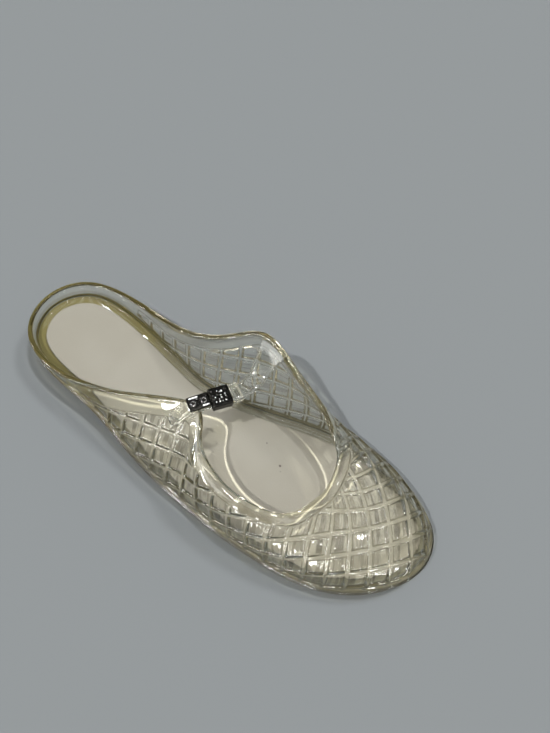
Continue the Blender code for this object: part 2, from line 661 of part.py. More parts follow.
def sleeve(name, size, passage, matrix, material, collection, cutters):
    """A rounded box with a straight passage for the strap."""
    obj = block(name, size, matrix, CLASP_ROUND, material, collection)
    tool = block(name + "_passage", (size[0] * 2.0, passage[0], passage[1]), matrix, 0.0, material, cutters)
    tool.hide_render = True
    tool.display_type = "WIRE"
    cut = obj.modifiers.new("Passage", "BOOLEAN")
    cut.operation = "DIFFERENCE"
    cut.object = tool
    return obj


def build_clasp(line, metal, clear, collection, cutters):
    """Square head and plate on the strap, a clear keeper beside the head, and a ball stud on the tail."""
    passage = (CLASP_STRAP + 2.0 * CLASP_PLAY, STRAP_THICK + 2.0 * CLASP_PLAY)
    sleeve("clasp_head", HEAD_SIZE, passage, line.matrix("head"), metal, collection, cutters)
    keeper = line.matrix("keeper", shift=KEEPER_SHIFT)
    sleeve("keeper", KEEPER_SIZE, passage, keeper, clear, collection, cutters)
    skin = STRAP_THICK / 2.0 + GAP
    plate = line.matrix("plate", lift=skin + PLATE_SIZE[2] / 2.0, shift=PLATE_SHIFT)
    block("clasp_plate", PLATE_SIZE, plate, CLASP_ROUND, metal, collection)
    bm = bmesh.new()
    bmesh.ops.create_uvsphere(bm, u_segments=STUD_SEGMENTS, v_segments=STUD_RINGS, radius=STUD_RADIUS * MM)
    stud = add_object("stud", bm, metal, collection)
    stud.matrix_world = line.matrix("tail", lift=skin + STUD_RADIUS, shift=STUD_SHIFT)
    smooth(stud, STUD_SHARP)


def centre(collection):
    """Hangs the parts on an empty that brings the middle of their footprint to the origin."""
    bpy.context.view_layer.update()
    pieces = list(collection.objects)
    corners = np.array([obj.matrix_world @ Vector(corner) for obj in pieces for corner in obj.bound_box])
    middle = (corners.min(axis=0) + corners.max(axis=0)) / 2.0
    root = bpy.data.objects.new("shoe", None)
    root.location = (-middle[0], -middle[1], 0.0)
    for obj in pieces:
        obj.parent = root
    collection.objects.link(root)
    return root


def main():
    for obj in list(bpy.data.objects):
        bpy.data.objects.remove(obj, do_unlink=True)
    parts = bpy.data.collections.new("jelly_mary_jane")
    cutters = bpy.data.collections.new("cutters")
    for collection in (parts, cutters):
        bpy.context.scene.collection.children.link(collection)

    wall = Wall()
    strap = StrapLine()
    build_outsole(wall, principled(JELLY_SOLE), parts)
    build_upper(wall, principled(JELLY), parts)
    build_insole(wall, principled(SOCK), parts)
    jelly_strap = principled(JELLY_STRAP)
    build_strap(strap, jelly_strap, parts)
    build_clasp(strap, principled(GUNMETAL), jelly_strap, parts, cutters)
    root = centre(parts)
    for tool in cutters.objects:
        tool.parent = root


main()
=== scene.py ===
import math
import bpy
import numpy as np
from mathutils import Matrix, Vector


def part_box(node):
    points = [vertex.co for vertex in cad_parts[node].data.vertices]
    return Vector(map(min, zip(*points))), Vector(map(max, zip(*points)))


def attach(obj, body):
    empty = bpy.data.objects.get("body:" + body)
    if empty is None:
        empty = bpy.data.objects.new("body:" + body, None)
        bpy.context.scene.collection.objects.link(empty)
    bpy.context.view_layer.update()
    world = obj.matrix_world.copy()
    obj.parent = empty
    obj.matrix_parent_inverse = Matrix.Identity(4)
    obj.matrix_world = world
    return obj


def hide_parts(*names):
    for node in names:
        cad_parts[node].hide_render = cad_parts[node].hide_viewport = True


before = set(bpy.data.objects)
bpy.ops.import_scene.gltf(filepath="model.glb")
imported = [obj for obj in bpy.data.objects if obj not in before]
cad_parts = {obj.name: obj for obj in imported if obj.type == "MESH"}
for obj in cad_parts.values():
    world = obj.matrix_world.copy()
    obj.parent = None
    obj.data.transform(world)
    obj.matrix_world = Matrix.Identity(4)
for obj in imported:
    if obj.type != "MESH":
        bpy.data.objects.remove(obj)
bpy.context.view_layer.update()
mm = 0.001
fullTurn = 2.0 * math.pi
upward = np.array([0.0, 0.0, 1.0])
print("frame loaded")


# Small maths shared by the pieces

def easeStep(low, high, x):
    # 0 below low, 1 above high, 3u^2 - 2u^3 between
    u = np.clip((x - low) / (high - low), 0.0, 1.0)
    return u * u * (3.0 - 2.0 * u)


def unit(rows):
    # each row divided by its length
    return rows / np.linalg.norm(rows, axis=-1, keepdims=True)


def dotRows(first, second):
    # sum of the products along each row
    return np.sum(first * second, axis=-1, keepdims=True)


def splineThrough(knots, values, at, period=None):
    # cubic through the values at the knots: closed with a period, natural without one
    count = len(knots)
    step = np.diff(np.append(knots, knots[0] + (period or knots[-1] + 1.0)))
    before = np.roll(step, 1)
    slope = (np.roll(values, -1, axis=0) - values) / step[:, None]
    pull = 6.0 * (slope - np.roll(slope, 1, axis=0))
    row = np.arange(count)
    matrix = np.zeros((count, count))
    matrix[row, row - 1] += before
    matrix[row, row] += 2.0 * (before + step)
    matrix[row, (row + 1) % count] += step
    if period is None:
        matrix[[0, -1]] = np.eye(count)[[0, -1]]
        pull[[0, -1]] = 0.0
    else:
        at = knots[0] + np.mod(at - knots[0], period)
    bend = np.linalg.solve(matrix, pull)
    finalSpan = count - 1 if period else count - 2
    i = np.clip(np.searchsorted(knots, at, side="right") - 1, 0, finalSpan)
    j = (i + 1) % count
    b = ((at - knots[i]) / step[i])[:, None]
    a = 1.0 - b
    curl = (a**3 - a) * bend[i] + (b**3 - b) * bend[j]
    return a * values[i] + b * values[j] + curl * (step[i] ** 2)[:, None] / 6.0


def gridNormals(points):
    # cross of the step round the shoe (closed) and the step up the wall
    side = np.roll(points, -1, axis=0) - np.roll(points, 1, axis=0)
    return unit(np.cross(side, np.gradient(points, axis=1)))


def ringQuads(rings, around, closed=False):
    # quads between neighbouring rings of points, back to the first ring where closed
    i, j = np.meshgrid(np.arange(rings if closed else rings - 1), np.arange(around), indexing="ij")
    k = (i + 1) % rings
    n = (j + 1) % around
    quads = np.stack([i * around + j, i * around + n, k * around + n, k * around + j], axis=-1)
    return quads.reshape(-1, 4)


def tubeFaces(rings, around):
    # quads of an open tube, and one flat face at each end
    firstRing = np.arange(around)
    lastRing = firstRing + (rings - 1) * around
    return ringQuads(rings, around).tolist() + [firstRing[::-1].tolist(), lastRing.tolist()]


def repeated(faces, copies, size):
    # the same faces for each copy, numbered on by the points of one copy
    return [[corner + size * copy for corner in face] for copy in range(copies) for face in faces]


def addMesh(name, verts, faces, material, smooth=True):
    mesh = bpy.data.meshes.new(name)
    mesh.from_pydata(np.asarray(verts).tolist(), [], faces)
    mesh.polygons.foreach_set("use_smooth", np.full(len(mesh.polygons), smooth))
    mesh.materials.append(material)
    mesh.update()
    piece = bpy.data.objects.new(name, mesh)
    bpy.context.scene.collection.objects.link(piece)
    return piece


# Shader wiring: the class wraps a socket, operators add Math nodes, make() adds any other node

class Wire:
    def __init__(self, tree, socket=None):
        self.tree = tree
        self.socket = socket

    def make(self, kind, settings=None, inputs=None, output=0):
        # a node with its settings, then the values or links of its sockets; a colour gets its alpha here
        node = self.tree.nodes.new(kind)
        for key, value in (settings or {}).items():
            setattr(node, key, value)
        for key, value in (inputs or {}).items():
            socket = node.inputs[key]
            if isinstance(value, Wire):
                self.tree.links.new(value.socket, socket)
            else:
                socket.default_value = (*value, 1.0) if socket.type == "RGBA" else value
        return Wire(self.tree, node.outputs[output] if node.outputs else None)

    def calc(self, operation, first, second=0.0):
        return self.make("ShaderNodeMath", {"operation": operation}, {0: first, 1: second})

    def __add__(self, other):
        return self.calc("ADD", self, other)

    def __radd__(self, other):
        return self.calc("ADD", other, self)

    def __sub__(self, other):
        return self.calc("SUBTRACT", self, other)

    def __rsub__(self, other):
        return self.calc("SUBTRACT", other, self)

    def __mul__(self, other):
        return self.calc("MULTIPLY", self, other)

    def __rmul__(self, other):
        return self.calc("MULTIPLY", other, self)

    def __truediv__(self, other):
        return self.calc("DIVIDE", self, other)

    def __rtruediv__(self, other):
        return self.calc("DIVIDE", other, self)

    def ramp(self, low, high, fromLow=0.0, fromHigh=1.0):
        return self.make("ShaderNodeMapRange", {"interpolation_type": "SMOOTHSTEP"},
                         {0: self, 1: fromLow, 2: fromHigh, 3: low, 4: high})

    def rises(self, fromLow, fromHigh):
        return self.ramp(0.0, 1.0, fromLow, fromHigh)

    def falls(self, fromLow, fromHigh):
        return self.ramp(1.0, 0.0, fromLow, fromHigh)

    def mix(self, first, second):
        # two colours mixed by this share
        return self.make("ShaderNodeMix", {"data_type": "RGBA"}, {0: self, 6: first, 7: second}, 2)

    def bump(self, distance, strength=1.0, normal=None):
        values = {"Strength": strength, "Distance": distance, "Height": self}
        if normal is not None:
            values["Normal"] = normal
        return self.make("ShaderNodeBump", None, values)

    def noise(self, scale=1.0, detail=1.0):
        return self.make("ShaderNodeTexNoise", None, {"Vector": self, "Scale": scale, "Detail": detail})

    def axis(self, number):
        return self.make("ShaderNodeSeparateXYZ", None, {0: self}, number)

    def attribute(self, name):
        return self.make("ShaderNodeAttribute", {"attribute_name": name}, output="Fac")

    def objectSpot(self):
        return self.make("ShaderNodeTexCoord", output="Object")

    def principled(self, values):
        return self.make("ShaderNodeBsdfPrincipled", None, values)

    def passLamps(self, shader, share, colour):
        # lamps' shadow rays get through by the share, all other rays meet the shader
        shadowRay = self.make("ShaderNodeLightPath", output="Is Shadow Ray")
        empty = self.make("ShaderNodeBsdfTransparent", None, {"Color": colour})
        return self.make("ShaderNodeMixShader", None, {0: shadowRay * share, 1: shader, 2: empty})


def newMaterial(name):
    material = bpy.data.materials.new(name)
    material.use_nodes = True
    material.node_tree.nodes.clear()
    return material, Wire(material.node_tree)


# Shape of the last: sizes in mm, in the shoe's own frame with x from the heel lip

last = {
    "wall": 2.8, "swell": 1.0, "step": 0.3,
    "heelSeat": 13.0, "treadSeat": 7.0, "seatFallX": 56.0,
    "shankThick": 5.5, "shankEndX": 100.0, "breastX": 64.0, "breastRun": 2.5,
    "ballX": 140.0, "springX": 188.0, "toeSpring": 5.0,
    "ledge": 1.0, "draft": 1.8, "ledgeDepth": 2.6,
    "strip": 3.0, "stripShare": 0.25, "bandShare": 0.45, "bandSlant": 0.5, "edgeReach": 2.0,
    "rollLine": 20.0, "rollTurn": 0.92,
}

# foot x and y, top x, y and z, then rise, crown and fall of the curve, and the collar band's width
sections = {
    "heelBack": (3.6, 1.0, 1.6, 1.0, 21.0, 3.0, 0.0, 3.0, 9.0),
    "heelCornerOuter": (10.0, -17.0, 8.2, -18.0, 21.2, 3.0, 0.0, 3.0, 9.0),
    "heelOuter": (31.0, -26.0, 31.0, -27.3, 22.5, 4.0, 0.0, 3.5, 9.0),
    "breastOuter": (60.0, -29.0, 58.0, -25.8, 29.5, 7.0, 0.5, 6.0, 9.0),
    "waistOuter": (92.0, -36.0, 82.0, -20.5, 41.0, 11.0, 4.0, 11.0, 9.0),
    "tabRear": (112.0, -39.3, 104.0, -12.5, 50.5, 14.0, 8.0, 13.0, 9.0),
    "tabFront": (127.0, -40.7, 120.0, -9.5, 53.0, 15.0, 12.0, 9.0, 8.8),
    "quarterOuter": (139.0, -41.5, 128.0, -19.0, 48.5, 15.0, 12.0, 6.0, 8.2),
    "throatOuter": (155.0, -42.3, 143.0, -27.3, 42.5, 14.0, 11.0, 4.5, 7.0),
    "ballOuter": (178.0, -41.6, 161.0, -29.0, 39.5, 13.0, 11.0, 4.0, 5.8),
    "vampOuter": (204.0, -38.2, 176.5, -25.5, 37.5, 13.0, 13.0, 3.5, 5.3),
    "toeOuter": (225.5, -28.8, 185.5, -17.8, 36.5, 13.0, 17.0, 3.0, 5.6),
    "toeCornerOuter": (240.3, -15.0, 189.8, -6.5, 36.5, 13.0, 26.0, 3.0, 5.2),
    "toeTip": (248.0, 5.0, 190.6, 3.8, 37.0, 13.0, 28.0, 3.0, 5.2),
    "toeCornerInner": (243.5, 18.5, 188.6, 12.5, 39.0, 13.0, 25.0, 3.0, 5.4),
    "toeInner": (229.3, 29.4, 184.5, 19.3, 41.8, 13.0, 15.0, 5.0, 6.2),
    "vampInner": (209.0, 36.4, 177.5, 25.0, 45.3, 14.0, 7.0, 10.0, 7.2),
    "ballInner": (184.0, 38.0, 165.0, 31.3, 50.0, 14.0, 2.0, 14.0, 7.8),
    "throatInner": (160.0, 34.0, 148.0, 36.0, 56.0, 15.0, -1.0, 16.0, 8.4),
    "peakFront": (142.0, 28.8, 136.0, 39.5, 60.5, 16.0, -3.0, 17.0, 9.0),
    "peakRear": (128.0, 24.6, 124.0, 40.8, 62.0, 16.0, -4.0, 17.0, 9.0),
    "waistInner": (106.0, 19.6, 106.0, 32.5, 52.5, 14.0, -3.0, 14.0, 9.0),
    "shankInner": (84.0, 21.3, 85.0, 27.0, 41.0, 11.0, -2.0, 10.0, 9.0),
    "breastInner": (64.0, 24.5, 63.0, 28.8, 30.5, 7.0, -1.0, 6.0, 9.0),
    "heelInner": (40.0, 27.0, 40.0, 30.6, 23.0, 4.0, 0.0, 3.5, 9.0),
    "heelCornerInner": (17.0, 22.8, 15.0, 24.5, 21.3, 3.0, 0.0, 3.0, 9.0),
}
sectionParts = {
    "foot": slice(0, 2), "top": slice(2, 5), "rise": slice(5, 6), "crown": slice(6, 7), "fall": slice(7, 8),
    "bandWidth": 8,
}
sectionNames = list(sections)
sectionRows = np.array(list(sections.values()))
footChords = np.linalg.norm(np.roll(sectionRows[:, :2], -1, axis=0) - sectionRows[:, :2], axis=1)
sectionPlaces = np.append(0.0, np.cumsum(footChords)[:-1])
girth = footChords.sum()


def placeOf(name):
    return sectionPlaces[sectionNames.index(name)]


def sectionAt(place, part):
    # one part of the sections, splined round the shoe
    return splineThrough(sectionPlaces, sectionRows, place, girth)[:, sectionParts[part]]


def toeLift(x):
    # toe spring: grows with the square of the way past the ball
    toe = sectionRows[:, 0].max()
    return last["toeSpring"] * (np.maximum(x - last["springX"], 0.0) / (toe - last["springX"])) ** 2


def seatHeight(x):
    # top of the sole: eased fall from heel to ball, plus the toe spring
    fall = easeStep(last["seatFallX"], last["ballX"], x)
    return last["heelSeat"] + (last["treadSeat"] - last["heelSeat"]) * fall + toeLift(x)


def floorHeight(x):
    # bottom of the sole: flat heel, raised shank after the breast, flat tread, sprung toe
    thicker = easeStep(last["shankEndX"], last["ballX"], x)
    thick = last["shankThick"] + (last["treadSeat"] - last["shankThick"]) * thicker
    arch = np.maximum(seatHeight(x) - toeLift(x) - thick, 0.0)
    return arch * np.clip((x - last["breastX"]) / last["breastRun"], 0.0, 1.0) + toeLift(x)


def outwardAt(place, reach=0.7):
    # level direction square to the feather line
    along = unit(sectionAt(place + reach, "foot") - sectionAt(place - reach, "foot"))
    return np.column_stack([along[:, 1], -along[:, 0], np.zeros(len(place))])


def wallCurves(place, steps=128):
    # cubic Bezier from foot to topline at each place, with its running length
    out = outwardAt(place)
    ground = sectionAt(place, "foot")
    foot = np.column_stack([ground, seatHeight(ground[:, 0]) + last["step"]])
    top = sectionAt(place, "top")
    first = foot + upward * sectionAt(place, "rise") + out * last["swell"]
    second = top + out * sectionAt(place, "crown") - upward * sectionAt(place, "fall")
    v = np.linspace(0.0, 1.0, steps + 1)[None, :, None]
    curve = ((1 - v) ** 3 * foot[:, None] + 3 * v * (1 - v) ** 2 * first[:, None]
             + 3 * v * v * (1 - v) * second[:, None] + v**3 * top[:, None])
    run = np.cumsum(np.linalg.norm(np.diff(curve, axis=1), axis=2), axis=1)
    return curve, np.concatenate([np.zeros((len(place), 1)), run], axis=1)


def alongCurves(curve, run, up):
    # points at the given lengths up each curve, all curves in one interpolation
    offset = np.arange(len(run))[:, None] * (run.max() + 1.0)
    spot = (np.clip(up, 0.0, run[:, -1:]) + offset).ravel()
    knots = (run + offset).ravel()
    parts = [np.interp(spot, knots, part.ravel()).reshape(up.shape) for part in np.moveaxis(curve, -1, 0)]
    return np.stack(parts, axis=-1)


def rollOut(around=480):
    # the wall laid flat along a line up it: headings are the running sum of the line's turns
    place = np.arange(around) * girth / around
    curve, run = wallCurves(place)
    lineUp = np.minimum(last["rollLine"], run[:, -1] / 2.0)
    heights = lineUp[:, None] + np.array([-1.0, 0.0, 1.0])    # just under the line, on it, just over it
    low, line, high = np.moveaxis(alongCurves(curve, run, heights), 1, 0)
    rise = unit(high - low)
    normal = unit(np.cross(np.roll(line, -1, axis=0) - np.roll(line, 1, axis=0), rise))
    edge = np.roll(line, -1, axis=0) - line
    behind = np.roll(edge, 1, axis=0)
    flatEdge = edge - normal * dotRows(edge, normal)
    flatBehind = behind - normal * dotRows(behind, normal)
    turn = np.arctan2(dotRows(np.cross(flatBehind, flatEdge), normal), dotRows(flatBehind, flatEdge))[:, 0]
    heading = np.cumsum(turn) * last["rollTurn"]
    toe = int(round(placeOf("toeTip") / girth * around))
    heading -= heading[toe]
    tangent = np.column_stack([np.cos(heading), np.sin(heading)])
    across = np.column_stack([-np.sin(heading), np.cos(heading)])
    strides = np.linalg.norm(edge, axis=1, keepdims=True) * tangent
    centre = np.vstack([np.zeros((1, 2)), np.cumsum(strides, axis=0)])
    ahead = unit(flatEdge)
    rising = dotRows(rise, ahead) * tangent + dotRows(rise, np.cross(normal, ahead)) * across
    return centre - centre[toe], np.vstack([rising, rising[-1:]]), np.append(lineUp, lineUp[0])


sheetCentre, sheetRising, sheetLine = rollOut()
sheetPlace = np.linspace(0.0, girth, len(sheetLine))


def flatAt(place, up):
    # where the points at these heights lie on the flat sheet: its line plus the way up the wall
    spot = np.mod(place, girth)
    sheet = (*sheetCentre.T, *sheetRising.T, sheetLine)
    centreX, centreY, risingX, risingY, line = (np.interp(spot, sheetPlace, row)[:, None] for row in sheet)
    reach = up - line
    return np.stack([centreX + reach * risingX, centreY + reach * risingY], axis=-1)


def bandFootAt(place, curve, run):
    # lower edge of the collar band, its width divided by the sine between topline and section
    tall = run[:, -1]
    along = sectionAt(place + last["edgeReach"], "top") - sectionAt(place - last["edgeReach"], "top")
    below = alongCurves(curve, run, (tall - last["edgeReach"])[:, None])[:, 0]
    sine = np.linalg.norm(np.cross(unit(along), unit(curve[:, -1] - below)), axis=1)
    width = sectionAt(place, "bandWidth") / np.maximum(sine, last["bandSlant"])
    return tall - np.minimum(width, last["bandShare"] * tall)


# Columns round the shoe: pairs at the same x on both sides, so that soles can be filled across

columns = {"half": 390, "heelShare": 0.35, "searchSteps": 9601, "weighSteps": 2001}


def columnPlaces():
    # outer side from heel to toe, with fewer columns round the heel, then the inner places at the same x
    search = np.linspace(-girth / 8.0, girth * 7.0 / 8.0, columns["searchSteps"])
    searchX = sectionAt(search, "foot")[:, 0]
    heel = search[np.argmin(searchX)]
    toe = search[np.argmax(searchX)]
    outer = np.linspace(heel, toe, columns["weighSteps"])
    weight = np.where(outer < placeOf("breastOuter"), columns["heelShare"], 1.0)
    share = np.append(0.0, np.cumsum((weight[1:] + weight[:-1]) / 2.0))
    outer = np.interp(np.linspace(0.0, share[-1], columns["half"] + 1), share, outer)
    inner = np.linspace(toe, heel + girth, columns["searchSteps"])
    innerX = np.minimum.accumulate(sectionAt(inner, "foot")[:, 0])
    mate = np.interp(-sectionAt(outer, "foot")[:, 0], -innerX, inner)
    return np.append(outer, mate[-2:0:-1])


columnPlace = columnPlaces()
footLine = sectionAt(columnPlace, "foot")
stationX = footLine[:, 0]
outLine = outwardAt(columnPlace)[:, :2]
wallCurve, wallRun = wallCurves(columnPlace)
wallTall = wallRun[:, -1]
ledgeCorner = (footLine + outLine * last["ledge"]).min(axis=0)
shift = np.append(np.array(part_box("outsole")[0])[:2] / mm - ledgeCorner, 0.0)
print("last shaped", len(columnPlace), "columns")


def inFrame(points):
    return (points + shift) * mm


def ring(offset, height):
    # the feather line moved outwards by offset, at the given heights
    return np.column_stack([footLine + outLine * offset, height])


def ringsFrom(table, edges, levels):
    # a ring for each row of the table: edge, way out from it, level, way up from it
    return [ring(edges[edge] + out, levels[level] + up) for edge, out, level, up in table]


def fillAcross(edge, first, following, across, height):
    # straight rows between paired columns at the given height, quads between them, a fan at heel and toe
    half = len(edge) // 2
    share = np.linspace(0.0, 1.0, across + 1)[None, 1:-1, None]
    fill = edge[1:half, None] * (1.0 - share) + edge[:half:-1, None] * share
    fill[..., 2] = height(stationX[1:half])[:, None]
    pair = np.arange(1, half)
    index = np.empty((half - 1, across + 1), dtype=int)
    index[:, 0] = first + pair
    index[:, -1] = first + len(edge) - pair
    index[:, 1:-1] = following + np.arange(fill[..., 0].size).reshape(half - 1, across - 1)
    quads = np.stack([index[:-1, :-1], index[:-1, 1:], index[1:, 1:], index[1:, :-1]], axis=-1)
    heel = np.stack([np.full(across, first), index[0, 1:], index[0, :-1]], axis=-1)
    toe = np.stack([np.full(across, first + half), index[-1, :-1], index[-1, 1:]], axis=-1)
    return fill.reshape(-1, 3), (quads.reshape(-1, 4), heel, toe)


def ringSolid(rings, across, lowHeight, highHeight):
    # closed solid from rings stacked bottom to top, both ends filled across
    rings = np.stack(rings)
    around = rings.shape[1]
    verts = [rings.reshape(-1, 3)]
    faces = ringQuads(len(rings), around).tolist()
    total = len(verts[0])
    for level, height, turn in ((0, lowHeight, 1), (len(rings) - 1, highHeight, -1)):
        fill, blocks = fillAcross(rings[level], level * around, total, across, height)
        verts.append(fill)
        total += len(fill)
        for block in blocks:
            faces += block[:, ::turn].tolist()
    return np.vstack(verts), faces


# Clear plastic: glass-like, olive where thick; light passes less through rib edges than through panes;
# shade is painted into its colour at rib edges, pane streaks, the wall's foot, band stretches and the bead

jelly = {
    "tint": (0.97, 0.975, 0.955), "absorb": (0.62, 0.53, 0.12), "density": 38.0, "ior": 1.52,
    "roughness": 0.03, "roughSpread": (0.6, 1.5),
    "ribs": {"rising": (54.2, 10.0, 0.8), "falling": (-48.7, 10.6, 2.65)},    # lean, pitch and start
    "ribHalf": 1.35, "ribHeight": 0.9, "crisp": 0.8, "crispHeight": 0.0003,
    # painted shade: dark lines along the rib feet and the lattice's border
    "paintedEdgeShade": (0.33, 0.318, 0.265),
    "edgeFrom": (0.55, 0.85), "edgeTo": (0.95, 1.3),        # shares of half a rib
    "rimFrom": (-1.15, -0.8), "rimTo": (-0.3, 0.1),         # way into the lattice
    # painted shade: streaks in the panes stand in for the ribs' shadows and refracted lines on what lies
    # beneath
    "paintedStreakShade": (0.5, 0.49, 0.465), "streakFrom": (0.48, 0.56),
    "rippleAcross": 4.0, "rippleAlong": 0.4, "rippleHeight": 0.0002,
    "waveScale": 60.0, "waveHeight": 0.00003, "waveStrength": 0.35,
    # painted shade: a darker strip along the wall's foot, and darker stretches of the collar band
    "paintedFootShade": (0.7, 0.68, 0.58), "paintedShadeTint": (0.58, 0.555, 0.48),
    # the bead tinted darker olive: partly its own tone where thick, partly painted shade, lighter towards
    # the peak
    "beadOliveAndShade": (0.74, 0.735, 0.64), "peakTint": (0.95, 0.94, 0.84),
    "peakFrom": (0.026, 0.046),                             # heights on the shoe, in metres
    "beadWidth": 1.6, "brightWidth": 0.9, "soft": 0.4, "brightSoft": 0.5,
    "focus": (6.0, 6.0, 5.9),                               # light let through, times the shares below
    "paneLight": 0.22, "ribLight": 0.1, "edgeLight": 0.035, "bandLight": 0.14, "plainLight": 0.165,
    "beadLight": 0.03, "brightLight": 1.0, "steepShare": 0.33, "steepFrom": (0.25, 0.6),
}
ribPitches = [pitch for lean, pitch, start in jelly["ribs"].values()]


def ribPattern(wire):
    # pane: 0 on the crest of a half-round rib and on the band, 1 in a cell; edge: 1 at a rib's foot
    # and along the lattice's border; zone: 1 on the lattice; ripple: noise drawn out along the ribs
    sheet = wire.make("ShaderNodeUVMap", {"uv_map": "sheet"})
    lines = [sheet.axis(number) for number in (0, 1)]
    ways = [wire.calc("PINGPONG", line, 0.5) * pitch for line, pitch in zip(lines, ribPitches)]
    near = wire.calc("MINIMUM", *ways)
    inside = wire.attribute("inside")
    half = jelly["ribHalf"]
    zone = inside.rises(0.0, jelly["crisp"])
    share = wire.calc("MINIMUM", near / half, 1.0)
    pane = (1.0 - wire.calc("SQRT", 1.0 - share * share)) * zone
    edgeFrom = [half * limit for limit in jelly["edgeFrom"]]
    edgeTo = [half * limit for limit in jelly["edgeTo"]]
    edge = near.rises(*edgeFrom) * near.falls(*edgeTo) * zone
    rim = inside.rises(*jelly["rimFrom"]) * inside.falls(*jelly["rimTo"])
    flow = wire.make("ShaderNodeCombineXYZ", None, {
        0: lines[1] * jelly["rippleAcross"], 1: lines[0] * jelly["rippleAlong"]})
    return pane, wire.calc("MAXIMUM", edge, rim), zone, flow.noise()


def beadMask(wire):
    # way down from the topline, and 1 on the bead
    crest = wire.attribute("crest")
    return crest, crest.falls(jelly["beadWidth"] - jelly["soft"], jelly["beadWidth"] + jelly["soft"])


def tintAndPaintedShade(wire, spot, pane, edge, ripple, bead):
    # painted shade laid over the clear tint: streaks in the panes, rib edges and the lattice's border, the
    # wall's foot strip, band stretches, and the bead (partly its own olive)
    # painted shade: streaks in the panes for the ribs' shadows beneath them
    tint = (ripple.rises(*jelly["streakFrom"]) * pane).mix(jelly["tint"], jelly["paintedStreakShade"])
    # painted shade: dark lines at the rib feet and along the band's lower border
    tint = edge.mix(tint, jelly["paintedEdgeShade"])
    foot = wire.attribute("low").falls(last["strip"] - jelly["soft"], last["strip"] + jelly["soft"])
    # painted shade: darker strip along the wall's foot
    tint = foot.mix(tint, jelly["paintedFootShade"])
    # painted shade: darker stretches of the collar band
    tint = wire.attribute("shade").mix(tint, jelly["paintedShadeTint"])
    # bead: partly its own olive, partly painted shade, lighter towards the peak
    beadOliveAndShade = spot.axis(2).rises(*jelly["peakFrom"]).mix(jelly["beadOliveAndShade"], jelly["peakTint"])
    return bead.mix(tint, beadOliveAndShade)


def lightThrough(wire, pane, edge, zone, crest, bead):
    # share of lamp light let through: dim at rib edges, dark in the bead, bright just under it
    band = jelly["bandLight"]
    rib = jelly["ribLight"]
    wall = band + zone * (rib - band) + pane * (jelly["paneLight"] - rib)
    wall = wall - edge * (rib - jelly["edgeLight"])
    under = jelly["beadWidth"] + jelly["brightWidth"]
    bright = crest.falls(under - jelly["brightSoft"], under + jelly["brightSoft"]) - bead
    wall = wall + bright * (jelly["brightLight"] - band) - bead * (band - jelly["beadLight"])
    slant = wire.calc("ABSOLUTE", wire.make("ShaderNodeNewGeometry", output="Normal").axis(2))
    wall = wall * slant.ramp(jelly["steepShare"], 1.0, *jelly["steepFrom"])
    return jelly["plainLight"] + wire.attribute("outer") * (wall - jelly["plainLight"])


def jellyMaterial(name, ribbed, density, roughness):
    # ribbed on the upper, where the mesh holds the pattern; plain on strap, keeper and stud
    material, wire = newMaterial(name)
    spot = wire.objectSpot()
    wave = spot.noise(jelly["waveScale"], 0.0)
    normal = wave.bump(jelly["waveHeight"], jelly["waveStrength"])
    tint = jelly["tint"]
    through = jelly["plainLight"]
    if ribbed:
        pane, edge, zone, ripple = ribPattern(wire)
        crest, bead = beadMask(wire)
        normal = (ripple * pane).bump(jelly["rippleHeight"], normal=normal)
        normal = (1.0 - pane).bump(jelly["crispHeight"], normal=normal)
        tint = tintAndPaintedShade(wire, spot, pane, edge, ripple, bead)
        through = lightThrough(wire, pane, edge, zone, crest, bead)
    clear = wire.principled({
        "Base Color": tint, "Normal": normal, "IOR": jelly["ior"], "Transmission Weight": 1.0,
        "Roughness": wave.ramp(*(roughness * share for share in jelly["roughSpread"]))})
    volume = wire.make("ShaderNodeVolumeAbsorption", None, {"Color": jelly["absorb"], "Density": density})
    wire.make("ShaderNodeOutputMaterial", None, {
        "Surface": wire.passLamps(clear, through, jelly["focus"]), "Volume": volume})
    return material


# Upper and sole: one moulding, from the sole's bottom edge up its side, up the wall and down inside

body = {
    "stripRows": 3, "latticeRows": 74, "innerRows": 12, "beadRows": 5, "across": 6,
    "bandShares": (0.0, 0.02, 0.045, 0.1, 0.25, 0.5, 0.75, 0.92),
    "beadCrown": 1.0, "bandCrown": 0.15, "frontCrown": 0.35, "bandStep": 0.5, "bandStepRun": 0.35,
    "zoneEdge": 0.9, "latticeEase": 12.0, "backOuter": 18.0, "backInner": 16.0, "fillet": 0.5,
    # stretches of painted shade on the collar band
    "bandShades": [                       # section, share of the way to the next, half length, strength
        ("throatOuter", 0.05, 3.0, 0.35), ("throatOuter", 0.6, 3.0, 0.4), ("ballOuter", 0.45, 9.0, 1.0),
        ("toeCornerOuter", 0.05, 5.0, 0.6), ("toeCornerInner", 0.1, 3.5, 0.45),
    ],
    "shadeEdge": 1.2, "shadeRise": 0.4,
    "side": [                             # edge, way out from it, level, way up from it
        ("tread", -2.0, "floor", 0.0), ("tread", -0.5, "floor", 0.0),
        ("tread", -0.1, "floor", 0.25), ("tread", 0.1, "floor", 0.9),
        ("rim", -0.25, "ledge", -0.3), ("rim", 0.0, "ledge", 0.2),
        ("rim", 0.0, "seat", -0.5), ("rim", -0.15, "seat", -0.12), ("rim", -0.5, "seat", 0.0),
        ("feather", 0.25, "seat", 0.05),
    ],
    "seat": [("innerFace", -0.6, "seat", 0.05), ("feather", -8.6, "seat", 0.0)],
    "offLattice": -5.0, "offWall": 20.0,  # what the shader reads away from the outer face
}


def lineNumbers(flat):
    # which line of each family the points lie on: (way crosswise - start) / pitch
    numbers = []
    for lean, pitch, start in jelly["ribs"].values():
        turn = math.radians(lean)
        numbers.append((flat[..., 0] * math.cos(turn) + flat[..., 1] * math.sin(turn) - start) / pitch)
    return np.stack(numbers, axis=-1)


